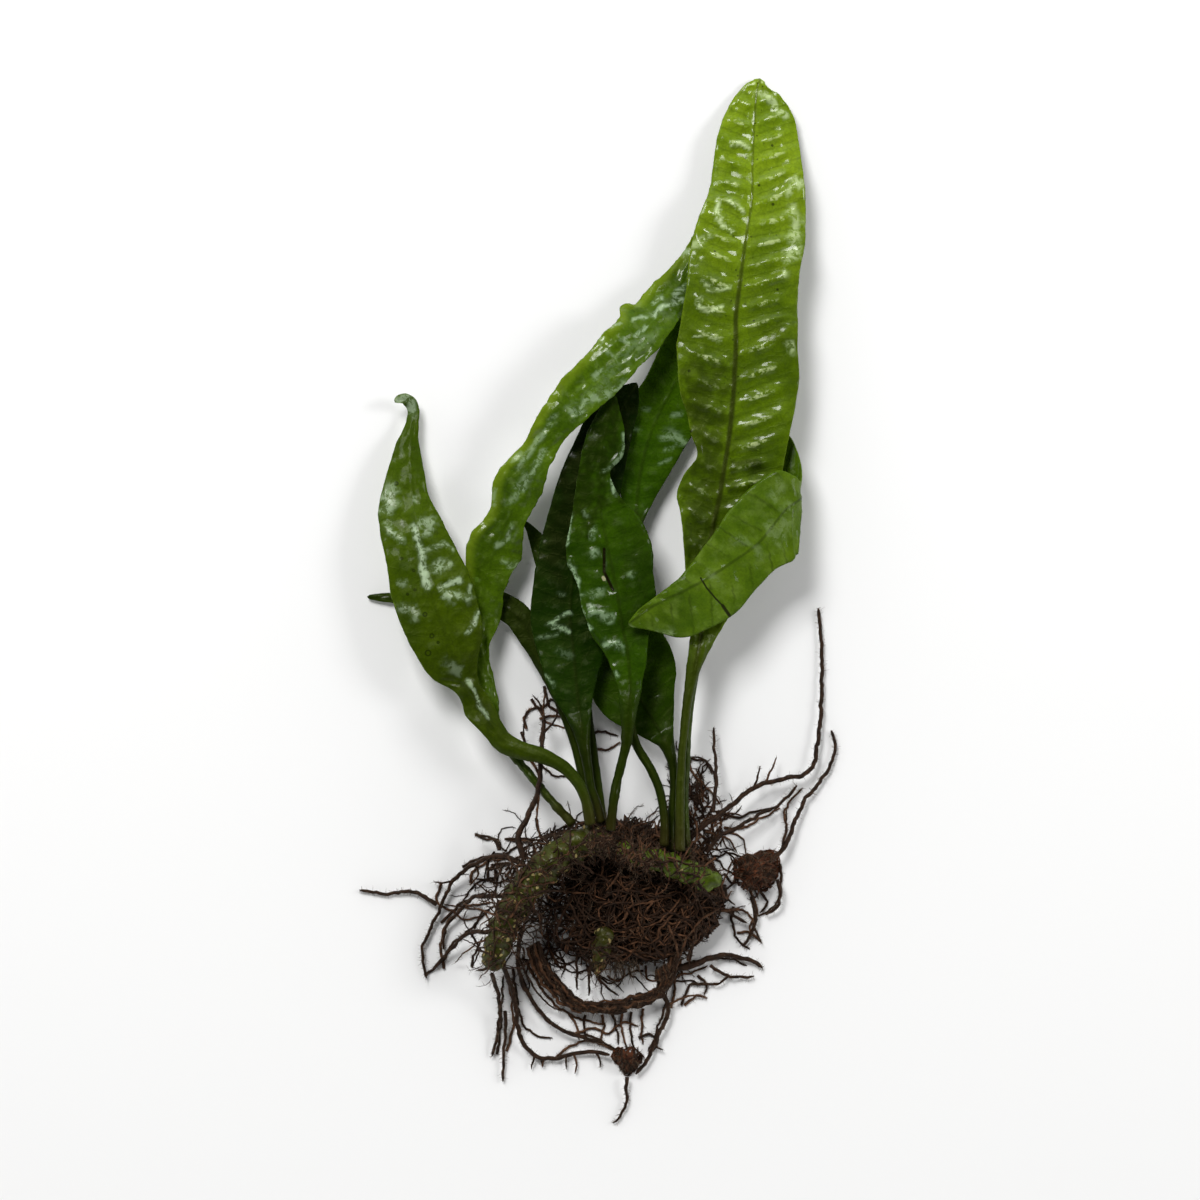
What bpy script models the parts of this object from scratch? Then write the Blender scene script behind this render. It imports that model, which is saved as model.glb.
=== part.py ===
"""A bare-rooted java fern, lying on a table as it was lifted out of the water.

Ten fronds grow from a creeping rhizome with one side branch and one bud. Under the rhizome is a
felted mat of brown roots, on which the plant rests, and wiry roots run out from it. Lengths are in
millimetres here and go into Blender in metres. +Y runs from the roots to the tip of the tallest
frond and +Z is away from the table.
"""

import math

import bmesh
import bpy
import numpy as np
from mathutils import Vector

MM = 0.001

# A frond is a round stalk that flattens into a thin blade with a thicker midrib.
BLADE_EDGE = 0.45
BLADE_RIB = 1.3
RIB_SPREAD = 1.4
STALK_HALF_WIDTH = 1.25
BLADE_HALF_WIDTH = 3.2
TIP_HALF_WIDTH = 0.25
BLADE_POINTS = 5
UNDERSIDE_POINTS = 3

# The blade is quilted: it bulges between side veins that slant towards the tip, and the bulges of
# the left and the right half stand a quarter of a turn out of step.
VEIN_SLANT = 0.25
QUILT_REACH = 1.15
QUILT_SHIFT = math.pi / 2

# The rhizome is knobbly: each old leaf scar swells it a little.
SCAR_SPACING = 4.2
SCAR_HEIGHT = 0.28
RHIZOME_SIDES = 12
RHIZOME_END_SHARES = (0.45, 0.86, 1.0)

# The root mat is a flattened bun with a flat underside, where the weight of the plant presses it.
MAT_CENTRE = (4.5, -66.0)
MAT_HALF_LENGTH = 25.0
MAT_HALF_WIDTH = 16.5
MAT_TURN = math.radians(-6)
MAT_SIDES = 36
MAT_LEVELS = ((0.0, 0.90), (1.6, 0.99), (4.2, 1.0), (7.0, 0.90), (8.7, 0.70), (9.4, 0.40))
MAT_BIG_LOBE = 0.045
MAT_SMALL_LOBE = 0.03
MAT_DIP = 0.06

TUFT_LUMP = 0.09
TUFT_TAPER = 0.55

ROOT_STEP = 3.6

LEAF_GREENS = {
    "light": (0.130, 0.210, 0.012),
    "pale": (0.110, 0.190, 0.020),
    "mid": (0.045, 0.110, 0.010),
    "dark": (0.018, 0.060, 0.006),
}
RHIZOME_GREEN = (0.070, 0.075, 0.020)
ROOT_BROWN = (0.030, 0.014, 0.007)
TUFT_BROWN = (0.060, 0.030, 0.014)


def material(name, colour, roughness):
    made = bpy.data.materials.new(name)
    made.use_nodes = True
    shader = made.node_tree.nodes["Principled BSDF"]
    shader.inputs["Base Color"].default_value = (*colour, 1.0)
    shader.inputs["Roughness"].default_value = roughness
    shader.inputs["Metallic"].default_value = 0.0
    made.diffuse_color = (*colour, 1.0)
    return made


def along(stations, count=None, step=None):
    """Rows read from one smooth curve through the stations, evenly spaced by length."""
    rows = np.array(stations, float)
    lengths = np.linalg.norm(np.diff(rows[:, :3], axis=0), axis=1)
    at = np.concatenate([[0.0], np.cumsum(lengths)])
    slopes = np.gradient(rows, at, axis=0)
    if count is None:
        count = max(3, round(at[-1] / step) + 1)
    places = np.linspace(0.0, at[-1], count)
    first = np.clip(np.searchsorted(at, places, side="right") - 1, 0, len(at) - 2)
    span = (at[first + 1] - at[first])[:, None]
    t = ((places - at[first])[:, None]) / span
    before, after = rows[first], rows[first + 1]
    bend_before, bend_after = slopes[first] * span, slopes[first + 1] * span
    smooth = (
        (2 * t**3 - 3 * t**2 + 1) * before
        + (t**3 - 2 * t**2 + t) * bend_before
        + (3 * t**2 - 2 * t**3) * after
        + (t**3 - t**2) * bend_after
    )
    return places, smooth


def finished(name, mesh_maker, finish):
    """One named object in the scene, from a bmesh in metres, with outward faces and smooth shading."""
    bmesh.ops.recalc_face_normals(mesh_maker, faces=mesh_maker.faces)
    mesh = bpy.data.meshes.new(name)
    mesh_maker.to_mesh(mesh)
    mesh_maker.free()
    mesh.shade_smooth()
    mesh.set_sharp_from_angle(angle=math.radians(50))
    mesh.materials.append(finish)
    made = bpy.data.objects.new(name, mesh)
    bpy.context.scene.collection.objects.link(made)
    return made


def lofted(name, rings, finish):
    """A closed body through rings of points, each in millimetres and going round the same way."""
    body = bmesh.new()
    loops = [[body.verts.new(Vector(point) * MM) for point in ring] for ring in rings]
    for ring, following in zip(loops, loops[1:]):
        for i in range(len(ring)):
            j = (i + 1) % len(ring)
            body.faces.new((ring[i], ring[j], following[j], following[i]))
    body.faces.new(loops[0])
    body.faces.new(reversed(loops[-1]))
    return finished(name, body, finish)


def frond(name, green, stations, rings, ridge=0.25, pitch=5.2, ruffle=0.5, wave=17.0, arch=-0.05):
    """A frond along its midrib, from the rhizome to the tip.

    A station is (x, y, z, left half-width, right half-width), and a sixth number gives the compass
    direction of the left margin where the blade is folded. ridge is the height of the quilting over
    the side veins, ruffle the swing of the margins, and arch how far the margins droop or lift.
    """
    places, rows = along(stations, count=rings)
    middle = rows[:, :3]
    heading = np.gradient(middle, places, axis=0)
    heading /= np.linalg.norm(heading, axis=1)[:, None]
    loops = []
    for place, row, forward in zip(places, rows, heading):
        left, right = max(row[3], TIP_HALF_WIDTH), max(row[4], TIP_HALF_WIDTH)
        if len(row) > 5:
            compass = math.radians(row[5])
        else:
            compass = math.atan2(forward[1], forward[0]) + math.pi / 2
        side = np.array([math.cos(compass), math.sin(compass), 0.0])
        up = np.cross(forward, side)
        up /= np.linalg.norm(up)
        width = (left + right) / 2
        flat = np.clip((width - STALK_HALF_WIDTH) / (BLADE_HALF_WIDTH - STALK_HALF_WIDTH), 0, 1)

        def surface(u, which):
            across = -u * (left if u < 0 else right)
            blade = BLADE_EDGE + (BLADE_RIB - BLADE_EDGE) * math.exp(-((across / RIB_SPREAD) ** 2))
            stalk = 2 * width * math.sqrt(max(0.0, 1 - (0.98 * u) ** 2))
            thick = flat * min(blade, 1.5 * width) + (1 - flat) * stalk
            shift = QUILT_SHIFT if u < 0 else 0.0
            lift = arch * width * u * u
            lift += ruffle * u * u * math.sin(2 * math.pi * place / wave + 2 * shift)
            quilting = math.cos(2 * math.pi * (place - VEIN_SLANT * abs(across)) / pitch + shift)
            lift += ridge * quilting * math.sin(math.pi * min(1.0, abs(u) * QUILT_REACH))
            return middle_point + side * across + up * (flat * lift + which * thick / 2)

        middle_point = row[:3]
        over = [surface(u, 1) for u in np.linspace(-1, 1, BLADE_POINTS)]
        under = [surface(u, -1) for u in np.linspace(1, -1, UNDERSIDE_POINTS)]
        loops.append(over + under)
    return lofted(name, loops, material(name, LEAF_GREENS[green], 0.35))


def rhizome(name, stations, rings):
    """A knobbly creeping stem; a station is (x, y, z, radius)."""
    places, rows = along(stations, count=rings)
    heading = np.gradient(rows[:, :3], places, axis=0)
    loops = []
    for i, (place, row, forward) in enumerate(zip(places, rows, heading)):
        side = np.cross(forward, (0, 0, 1))
        side /= np.linalg.norm(side)
        up = np.cross(side, forward)
        up /= np.linalg.norm(up)
        end = min(i, rings - 1 - i)
        rounding = RHIZOME_END_SHARES[min(end, 2)]
        loop = []
        for k in range(RHIZOME_SIDES):
            angle = 2 * math.pi * k / RHIZOME_SIDES
            scar = SCAR_HEIGHT * math.sin(2 * math.pi * place / SCAR_SPACING + 2 * angle)
            radius = rounding * (row[3] + scar)
            loop.append(row[:3] + radius * (math.cos(angle) * side + math.sin(angle) * up))
        loops.append(loop)
    return lofted(name, loops, material(name, RHIZOME_GREEN, 0.55))


def root(name, points, thick, thin, sides=1):
    """A wiry root, thickest where it leaves the plant, as a bevelled curve with filled ends."""
    _, rows = along(points, step=ROOT_STEP)
    curve = bpy.data.curves.new(name, "CURVE")
    curve.dimensions = "3D"
    curve.bevel_depth = MM
    curve.bevel_resolution = sides
    curve.use_fill_caps = True
    line = curve.splines.new("POLY")
    line.points.add(len(rows) - 1)
    for point, row, share in zip(line.points, rows, np.linspace(0, 1, len(rows))):
        point.co = (*(row * MM), 1.0)
        point.radius = thick + (thin - thick) * share
    line.use_smooth = True
    curve.materials.append(material(name, ROOT_BROWN, 0.85))
    made = bpy.data.objects.new(name, curve)
    bpy.context.scene.collection.objects.link(made)
    return made


def root_mat():
    """The felted bun of roots under the rhizome, with the flat face that the plant rests on."""
    loops = []
    for height, share in MAT_LEVELS:
        loop = []
        for k in range(MAT_SIDES):
            angle = 2 * math.pi * k / MAT_SIDES
            lobes = 1 + MAT_BIG_LOBE * math.sin(5 * angle + 0.6) + MAT_SMALL_LOBE * math.sin(11 * angle)
            reach = share * lobes
            x = reach * MAT_HALF_LENGTH * math.cos(angle)
            y = reach * MAT_HALF_WIDTH * math.sin(angle)
            dip = MAT_DIP * height * math.sin(3 * angle + height)
            loop.append(
                (
                    MAT_CENTRE[0] + x * math.cos(MAT_TURN) - y * math.sin(MAT_TURN),
                    MAT_CENTRE[1] + x * math.sin(MAT_TURN) + y * math.cos(MAT_TURN),
                    height + dip,
                )
            )
        loops.append(loop)
    return lofted("root_mat", loops, material("root_mat", ROOT_BROWN, 0.9))


def tuft(name, centre, half_sizes, lean=0.0):
    """A knot of matted root hair: a lumpy ball, drawn out towards -Y by lean."""
    ball = bmesh.new()
    bmesh.ops.create_icosphere(ball, subdivisions=2, radius=1.0)
    for point in ball.verts:
        direction = point.co.copy()
        lumps = 1 + TUFT_LUMP * math.sin(4 * direction.x + 5 * direction.y + 3 * direction.z)
        tail = max(0.0, -direction.y)
        narrow = 1 - TUFT_TAPER * lean * tail
        stretched = Vector(
            (
                direction.x * half_sizes[0] * narrow,
                direction.y * half_sizes[1] * (1 + lean * tail),
                direction.z * half_sizes[2] * narrow,
            )
        )
        point.co = (Vector(centre) + stretched * lumps) * MM
    return finished(name, ball, material(name, TUFT_BROWN, 0.95))


for leftover in list(bpy.data.objects):
    bpy.data.objects.remove(leftover)

# The fronds, from the front of the plant to the back.

frond(
    "tall_frond",
    "light",
    [
        (18.7, -56.8, 14.4, 1.15, 1.15),
        (18.7, -45.0, 13.9, 1.1, 1.1),
        (19.9, -26.7, 12.7, 1.0, 1.0),
        (22.0, -15.5, 12.0, 1.9, 1.3),
        (23.3, -8.5, 11.6, 2.4, 3.2),
        (24.2, -2.0, 11.3, 3.6, 6.0),
        (25.2, 7.5, 11.0, 5.3, 9.5),
        (26.3, 17.6, 10.8, 7.4, 12.0),
        (27.4, 22.4, 10.8, 9.6, 13.0),
        (28.3, 27.5, 10.8, 9.0, 13.4),
        (29.2, 33.0, 10.9, 6.6, 13.4),
        (29.9, 37.5, 11.0, 8.8, 13.6),
        (30.4, 42.0, 11.0, 10.1, 14.0),
        (30.9, 47.3, 11.0, 12.2, 14.6),
        (31.2, 53.0, 11.0, 13.0, 15.0),
        (31.5, 59.0, 11.0, 13.6, 14.2),
        (31.5, 65.8, 10.8, 12.3, 14.4),
        (32.2, 71.3, 10.6, 12.0, 13.7),
        (32.9, 76.8, 10.2, 12.3, 13.4),
        (34.1, 85.3, 9.0, 11.6, 13.7),
        (35.2, 91.9, 7.6, 10.3, 12.6),
        (35.4, 99.4, 5.8, 9.1, 11.7),
        (35.7, 106.8, 4.1, 7.3, 10.5),
        (35.9, 112.9, 2.7, 5.2, 7.9),
        (37.0, 117.3, 1.7, 3.9, 4.4),
        (37.4, 119.1, 1.3, 1.9, 2.0),
        (37.5, 119.9, 1.1, 0.4, 0.4),
    ],
    rings=62,
    ridge=0.45,
    pitch=5.8,
    ruffle=0.55,
    wave=19.0,
    arch=-0.03,
)

# Behind the tall frond, then turned over its right margin, so that the pale underside shows.
frond(
    "folded_frond",
    "pale",
    [
        (20.3, -58.1, 11.6, 1.1, 1.1, 180),
        (19.7, -45.7, 10.7, 1.0, 1.0, 180),
        (20.1, -35.9, 9.9, 1.0, 1.0, 180),
        (20.6, -26.7, 9.1, 1.0, 1.0, 178),
        (21.9, -17.6, 8.4, 1.0, 1.0, 172),
        (23.3, -10.7, 7.9, 1.1, 1.1, 168),
        (24.7, -3.9, 7.4, 1.3, 1.3, 167),
        (26.1, 3.0, 6.9, 2.6, 2.6, 165),
        (27.9, 9.8, 6.6, 5.4, 5.4, 160),
        (30.4, 16.7, 6.4, 8.6, 8.4, 150),
        (34.1, 21.9, 6.3, 10.6, 10.2, 132),
        (38.9, 24.7, 6.3, 11.8, 11.2, 108),
        (43.6, 25.5, 6.6, 13.0, 12.2, 99),
        (46.4, 25.4, 8.2, 13.8, 12.8, 98),
        (47.0, 24.9, 10.4, 14.0, 13.0, 99),
        (46.2, 23.9, 12.6, 12.6, 12.2, 101),
        (43.4, 21.9, 13.6, 9.9, 10.8, 110),
        (40.7, 18.7, 13.7, 10.0, 9.2, 119),
        (36.6, 13.7, 13.7, 10.3, 7.2, 125),
        (31.3, 9.8, 13.9, 8.0, 8.2, 125),
        (25.8, 6.2, 14.3, 5.7, 10.2, 123),
        (19.9, 2.9, 15.0, 3.1, 10.2, 120),
        (14.2, 0.2, 15.6, 1.7, 7.8, 120),
        (9.6, -2.7, 15.9, 1.1, 3.4, 122),
        (6.9, -5.0, 16.0, 0.4, 0.4, 124),
    ],
    rings=48,
    ridge=0.25,
    pitch=6.5,
    ruffle=0.3,
    wave=23.0,
    arch=0.02,
)

frond(
    "curled_tip_frond",
    "mid",
    [
        (-1.7, -50.7, 16.3, 1.25, 1.25),
        (-3.2, -43.4, 16.2, 1.25, 1.25),
        (-6.9, -38.2, 15.4, 1.4, 1.4),
        (-11.7, -35.2, 14.6, 1.7, 1.7),
        (-16.7, -33.8, 13.4, 2.1, 2.1),
        (-21.0, -31.8, 12.4, 2.6, 2.2),
        (-24.2, -27.9, 11.6, 2.9, 2.3),
        (-26.7, -23.5, 11.2, 4.2, 2.6),
        (-29.7, -19.4, 11.0, 2.9, 2.9),
        (-32.0, -14.9, 11.2, 6.2, 5.0),
        (-34.0, -9.5, 11.4, 8.0, 8.2),
        (-36.3, -3.0, 11.4, 8.9, 9.4),
        (-38.6, 3.6, 11.0, 9.0, 9.6),
        (-40.4, 10.5, 10.0, 8.1, 8.4),
        (-41.5, 17.5, 8.8, 8.5, 6.3),
        (-42.3, 24.0, 7.4, 8.0, 3.7),
        (-42.9, 30.5, 5.9, 5.3, 3.0),
        (-43.0, 36.5, 4.5, 3.4, 2.0),
        (-42.6, 41.5, 3.4, 1.3, 1.3),
        (-42.1, 44.6, 3.0, 1.1, 1.0),
        (-43.2, 46.7, 3.6, 1.0, 0.9),
        (-45.0, 47.5, 4.6, 0.9, 0.8),
        (-46.8, 46.7, 5.4, 0.4, 0.4),
    ],
    rings=44,
    ridge=0.22,
    pitch=6.4,
    ruffle=0.5,
    wave=21.0,
    arch=-0.09,
)

frond(
    "long_wavy_frond",
    "mid",
    [
        (-5.5, -50.8, 12.5, 1.05, 1.05),
        (-10.3, -45.4, 11.2, 1.0, 1.0),
        (-13.9, -41.2, 10.0, 1.0, 1.0),
        (-17.4, -37.0, 9.0, 1.0, 1.0),
        (-21.3, -32.5, 8.2, 1.2, 1.4),
        (-24.7, -27.2, 7.6, 1.6, 2.6),
        (-26.1, -22.2, 7.2, 2.4, 3.2),
        (-27.2, -16.7, 7.0, 3.0, 3.2),
        (-27.7, -11.0, 6.8, 3.6, 2.8),
        (-27.2, -3.0, 6.8, 4.6, 4.9),
        (-25.5, 5.5, 7.2, 5.2, 4.7),
        (-23.5, 12.5, 8.0, 6.5, 6.4),
        (-20.6, 19.0, 9.4, 4.7, 4.1),
        (-17.4, 27.2, 11.0, 6.2, 5.0),
        (-13.7, 33.8, 12.2, 4.2, 3.5),
        (-10.0, 39.3, 13.2, 5.0, 3.3),
        (-3.7, 46.0, 14.4, 6.7, 3.8),
        (1.2, 51.5, 15.1, 6.4, 4.8),
        (6.5, 56.5, 15.0, 7.2, 4.1),
        (11.0, 61.5, 13.2, 7.8, 4.3),
        (14.8, 67.5, 9.4, 5.6, 4.7),
        (19.5, 74.0, 6.4, 4.2, 4.8),
        (24.0, 82.0, 4.7, 3.0, 4.4),
        (28.5, 89.5, 3.3, 3.6, 3.6),
        (33.0, 95.5, 2.4, 2.4, 2.4),
        (37.0, 99.5, 1.8, 0.4, 0.4),
    ],
    rings=52,
    ridge=0.18,
    pitch=4.6,
    ruffle=0.7,
    wave=15.0,
    arch=-0.06,
)

frond(
    "front_frond",
    "dark",
    [
        (2.8, -51.9, 14.8, 1.2, 1.2),
        (3.5, -46.2, 15.6, 1.1, 1.1),
        (4.1, -41.6, 15.2, 1.1, 1.1),
        (5.5, -35.9, 14.8, 1.0, 1.0),
        (6.6, -31.3, 14.6, 1.2, 1.2),
        (6.9, -25.6, 14.4, 1.8, 1.8),
        (7.3, -19.9, 14.0, 2.9, 2.6),
        (6.7, -10.7, 13.5, 5.2, 4.7),
        (5.5, -5.0, 13.1, 7.5, 6.8),
        (4.6, 1.0, 12.8, 8.6, 8.7),
        (3.6, 6.0, 12.6, 8.5, 9.2),
        (2.5, 11.2, 12.5, 9.8, 10.0),
        (1.4, 17.0, 12.3, 8.4, 8.8),
        (0.7, 20.5, 12.2, 7.0, 6.8),
        (0.2, 25.5, 12.0, 5.4, 4.0),
        (0.1, 30.2, 11.9, 4.6, 2.7),
        (0.8, 34.5, 11.8, 4.4, 5.0),
        (1.8, 39.5, 11.6, 3.8, 4.4),
        (3.0, 44.5, 11.4, 2.2, 2.2),
        (3.8, 47.4, 11.3, 0.4, 0.4),
    ],
    rings=38,
    ridge=0.3,
    pitch=6.0,
    ruffle=0.35,
    wave=18.0,
    arch=-0.1,
)

frond(
    "dark_frond",
    "dark",
    [
        (0.8, -50.3, 14.0, 1.15, 1.15),
        (-0.2, -46.2, 13.5, 1.1, 1.1),
        (-1.6, -42.0, 13.0, 1.0, 1.0),
        (-2.3, -37.7, 12.5, 1.1, 1.1),
        (-3.2, -32.5, 11.9, 1.4, 1.5),
        (-4.1, -25.8, 11.1, 3.2, 2.6),
        (-4.8, -19.9, 10.4, 6.0, 4.1),
        (-5.5, -11.9, 9.6, 7.9, 6.9),
        (-6.4, -3.9, 9.0, 9.0, 8.0),
        (-5.9, 4.1, 8.6, 8.9, 8.0),
        (-4.8, 12.1, 8.2, 8.6, 7.6),
        (-3.2, 20.1, 7.9, 8.0, 7.2),
        (-1.1, 28.1, 7.6, 7.6, 6.8),
        (1.1, 35.0, 7.4, 6.8, 6.0),
        (3.9, 41.8, 7.2, 6.0, 4.8),
        (6.9, 47.5, 7.0, 3.4, 3.0),
        (8.9, 50.5, 6.8, 0.4, 0.4),
    ],
    rings=34,
    ridge=0.25,
    pitch=6.0,
    ruffle=0.3,
    wave=20.0,
    arch=-0.05,
)

frond(
    "back_frond",
    "dark",
    [
        (15.1, -55.75, 13.45, 1.1, 1.1),
        (15.1, -48.5, 12.9, 1.0, 1.0),
        (14.2, -43.2, 11.9, 1.0, 1.0),
        (11.9, -37.7, 10.5, 1.0, 1.0),
        (9.1, -33.1, 9.2, 1.0, 1.0),
        (7.1, -25.6, 8.2, 1.0, 1.0),
        (6.4, -17.6, 7.6, 1.0, 1.0),
        (6.9, -8.5, 6.9, 1.0, 1.0),
        (7.8, 0.7, 6.1, 1.0, 1.0),
        (8.5, 9.8, 5.4, 1.1, 1.1),
        (8.7, 17.8, 4.9, 1.6, 1.6),
        (9.1, 24.7, 4.6, 4.0, 4.2),
        (10.1, 31.5, 4.4, 6.4, 6.8),
        (11.7, 37.5, 4.3, 7.4, 8.2),
        (13.9, 43.2, 4.3, 7.2, 9.2),
        (16.9, 48.9, 4.2, 6.6, 9.2),
        (20.1, 54.4, 4.1, 7.2, 8.6),
        (23.4, 60.1, 3.8, 7.2, 7.6),
        (26.6, 65.8, 3.4, 5.8, 5.8),
        (29.3, 71.3, 2.8, 3.2, 3.2),
        (31.3, 75.5, 2.4, 0.4, 0.4),
    ],
    rings=36,
    ridge=0.22,
    pitch=5.0,
    ruffle=0.3,
    wave=22.0,
    arch=-0.04,
)

frond(
    "broad_short_frond",
    "dark",
    [
        (16.7, -57.1, 10.5, 1.1, 1.1),
        (16.9, -48.5, 9.2, 1.0, 1.0),
        (17.4, -42.7, 8.4, 1.0, 1.0),
        (17.1, -37.0, 7.6, 1.1, 1.1),
        (15.8, -32.5, 6.8, 1.8, 1.8),
        (12.8, -27.2, 5.8, 5.0, 5.4),
        (9.1, -20.8, 5.0, 9.4, 9.8),
        (6.6, -13.9, 4.4, 9.8, 10.8),
        (5.0, -7.1, 3.8, 8.6, 9.2),
        (4.1, -0.2, 3.1, 5.6, 5.8),
        (3.7, 3.5, 2.6, 3.0, 3.0),
        (3.6, 6.0, 2.2, 0.4, 0.4),
    ],
    rings=22,
    ridge=0.2,
    pitch=5.5,
    ruffle=0.25,
    wave=19.0,
    arch=-0.03,
)

frond(
    "narrow_frond",
    "dark",
    [
        (-1.8, -50.5, 11.9, 1.0, 1.0),
        (-3.6, -39.3, 9.2, 1.0, 1.0),
        (-7.1, -26.7, 6.8, 1.2, 1.2),
        (-11.4, -15.8, 5.4, 2.0, 2.0),
        (-16.0, -6.6, 4.6, 3.0, 3.0),
        (-19.0, -2.5, 4.0, 3.1, 3.1),
        (-22.4, -0.5, 3.5, 3.1, 3.1),
        (-29.3, 0.7, 2.7, 3.0, 3.0),
        (-38.4, 1.1, 1.9, 2.4, 2.4),
        (-47.3, 1.2, 1.4, 1.2, 1.2),
        (-51.0, 1.3, 1.1, 0.8, 0.8),
        (-53.2, 1.4, 1.0, 0.4, 0.4),
    ],
    rings=22,
    ridge=0.08,
    pitch=5.0,
    ruffle=0.15,
    wave=18.0,
    arch=-0.03,
)

frond(
    "small_pointed_frond",
    "dark",
    [
        (1.3, -50.9, 11.6, 1.0, 1.0),
        (-0.5, -38.2, 8.8, 1.0, 1.0),
        (-1.8, -29.0, 7.6, 1.0, 1.0),
        (-3.4, -19.9, 6.7, 1.4, 1.4),
        (-5.5, -10.7, 5.9, 3.0, 3.0),
        (-8.2, -1.6, 5.1, 4.2, 4.4),
        (-11.4, 7.5, 4.3, 2.6, 4.4),
        (-13.9, 13.0, 3.7, 1.6, 3.0),
        (-15.8, 17.0, 3.2, 0.8, 1.2),
        (-17.0, 18.8, 3.0, 0.4, 0.4),
    ],
    rings=20,
    ridge=0.1,
    pitch=5.0,
    ruffle=0.15,
    wave=18.0,
    arch=-0.03,
)

# The creeping stem, its side branch to the right, and the bud that points at the roots.

rhizome(
    "rhizome",
    [
        (3.4, -55.0, 12.2, 2.6),
        (0.4, -54.2, 12.8, 3.2),
        (-3.5, -54.6, 13.4, 3.6),
        (-8.0, -57.0, 13.9, 3.7),
        (-13.3, -61.5, 14.1, 3.7),
        (-17.8, -66.8, 13.7, 3.6),
        (-20.8, -72.5, 13.1, 3.4),
        (-22.9, -78.2, 12.3, 3.1),
        (-24.5, -83.9, 11.5, 2.5),
    ],
    rings=26,
)
rhizome(
    "rhizome_branch",
    [
        (4.15, -55.25, 12.2, 2.4),
        (9.6, -58.0, 12.8, 2.4),
        (13.2, -58.6, 13.2, 2.5),
        (16.9, -59.8, 13.4, 2.6),
        (21.0, -61.5, 13.4, 2.6),
        (24.5, -63.1, 12.9, 2.5),
        (28.3, -62.9, 12.0, 1.9),
    ],
    rings=18,
)
rhizome(
    "rhizome_bud",
    [
        (1.7, -73.8, 11.8, 2.2),
        (1.2, -77.0, 11.3, 2.1),
        (0.5, -80.0, 10.5, 1.8),
        (-0.2, -85.0, 8.8, 0.7),
    ],
    rings=10,
)

# The matted roots: the bun under the rhizome and two knots further out.

root_mat()
tuft("root_tuft", (35.3, -62.0, 3.6), (5.2, 4.9, 3.1))
tuft("root_knot", (6.8, -104.2, 2.4), (3.6, 2.3, 1.5), lean=0.8)

# The long roots, each from where it leaves the plant to its tip.

root(
    "root_left_main",
    [
        (-16.8, -59.7, 12.2),
        (-22.4, -57.9, 8.4),
        (-28.3, -59.9, 5.0),
        (-33.4, -64.0, 2.7),
        (-36.3, -70.2, 1.7),
        (-39.3, -76.6, 1.3),
        (-40.5, -79.6, 1.1),
        (-40.3, -82.5, 1.0),
        (-39.5, -86.4, 0.9),
    ],
    0.75,
    0.5,
)
root(
    "root_left_reaching",
    [
        (-37.1, -69.4, 1.7),
        (-40.0, -67.6, 1.3),
        (-42.5, -66.5, 1.1),
        (-48.5, -67.0, 0.9),
        (-52.0, -66.6, 0.8),
        (-54.9, -66.1, 0.8),
    ],
    0.6,
    0.4,
)
root(
    "root_left_lower",
    [
        (-24.7, -75.1, 10.05),
        (-30.4, -76.1, 5.2),
        (-33.4, -79.1, 2.8),
        (-36.0, -82.0, 1.6),
        (-37.8, -84.0, 1.0),
    ],
    0.65,
    0.45,
)
root(
    "root_left_middle",
    [
        (-21.5, -67.0, 10.85),
        (-26.1, -67.2, 6.6),
        (-29.0, -67.8, 4.0),
        (-31.5, -70.6, 2.6),
        (-34.1, -73.2, 1.8),
        (-35.4, -76.2, 1.3),
        (-35.6, -79.8, 0.9),
    ],
    0.6,
    0.4,
)
root(
    "root_left_hook",
    [
        (-22.6, -56.5, 8.6),
        (-23.4, -54.6, 7.4),
        (-25.6, -53.5, 5.6),
        (-28.3, -53.3, 4.4),
    ],
    0.5,
    0.35,
)
root(
    "root_rising",
    [
        (-16.6, -58.6, 13.7),
        (-18.2, -53.3, 13.3),
        (-16.6, -49.8, 12.9),
        (-14.9, -46.2, 12.6),
        (-13.7, -43.0, 12.4),
        (-13.2, -38.6, 11.7),
        (-12.9, -34.5, 10.2),
        (-12.6, -30.5, 7.8),
        (-12.3, -26.4, 5.2),
    ],
    0.85,
    0.5,
)
root(
    "root_right_longest",
    [
        (19.6, -55.0, 6.1),
        (24.4, -51.0, 6.4),
        (28.2, -48.2, 6.0),
        (32.0, -45.3, 5.2),
        (35.4, -42.6, 4.4),
        (39.3, -41.2, 3.7),
        (43.7, -40.2, 3.1),
        (48.2, -39.0, 2.5),
        (49.8, -36.6, 2.2),
        (50.4, -32.9, 2.0),
        (51.1, -28.0, 1.7),
        (51.5, -20.0, 1.3),
        (51.4, -8.5, 1.0),
        (50.7, -1.2, 0.8),
    ],
    0.75,
    0.45,
)
root(
    "root_right_outer",
    [
        (39.8, -59.3, 3.4),
        (43.4, -55.3, 2.9),
        (44.6, -51.9, 2.5),
        (45.9, -48.9, 2.1),
        (47.5, -45.5, 1.7),
        (50.6, -41.8, 1.3),
        (53.0, -38.3, 1.1),
        (54.3, -35.2, 1.0),
        (54.6, -32.2, 0.9),
        (53.7, -29.3, 0.8),
    ],
    0.65,
    0.4,
)
root(
    "root_right_inner",
    [
        (24.8, -57.3, 4.4),
        (28.2, -53.4, 4.4),
        (31.5, -51.9, 4.2),
        (35.0, -49.8, 3.8),
        (37.7, -48.3, 3.3),
        (40.7, -47.0, 2.8),
        (43.4, -44.8, 2.3),
        (45.8, -42.0, 1.7),
    ],
    0.6,
    0.4,
)
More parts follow.
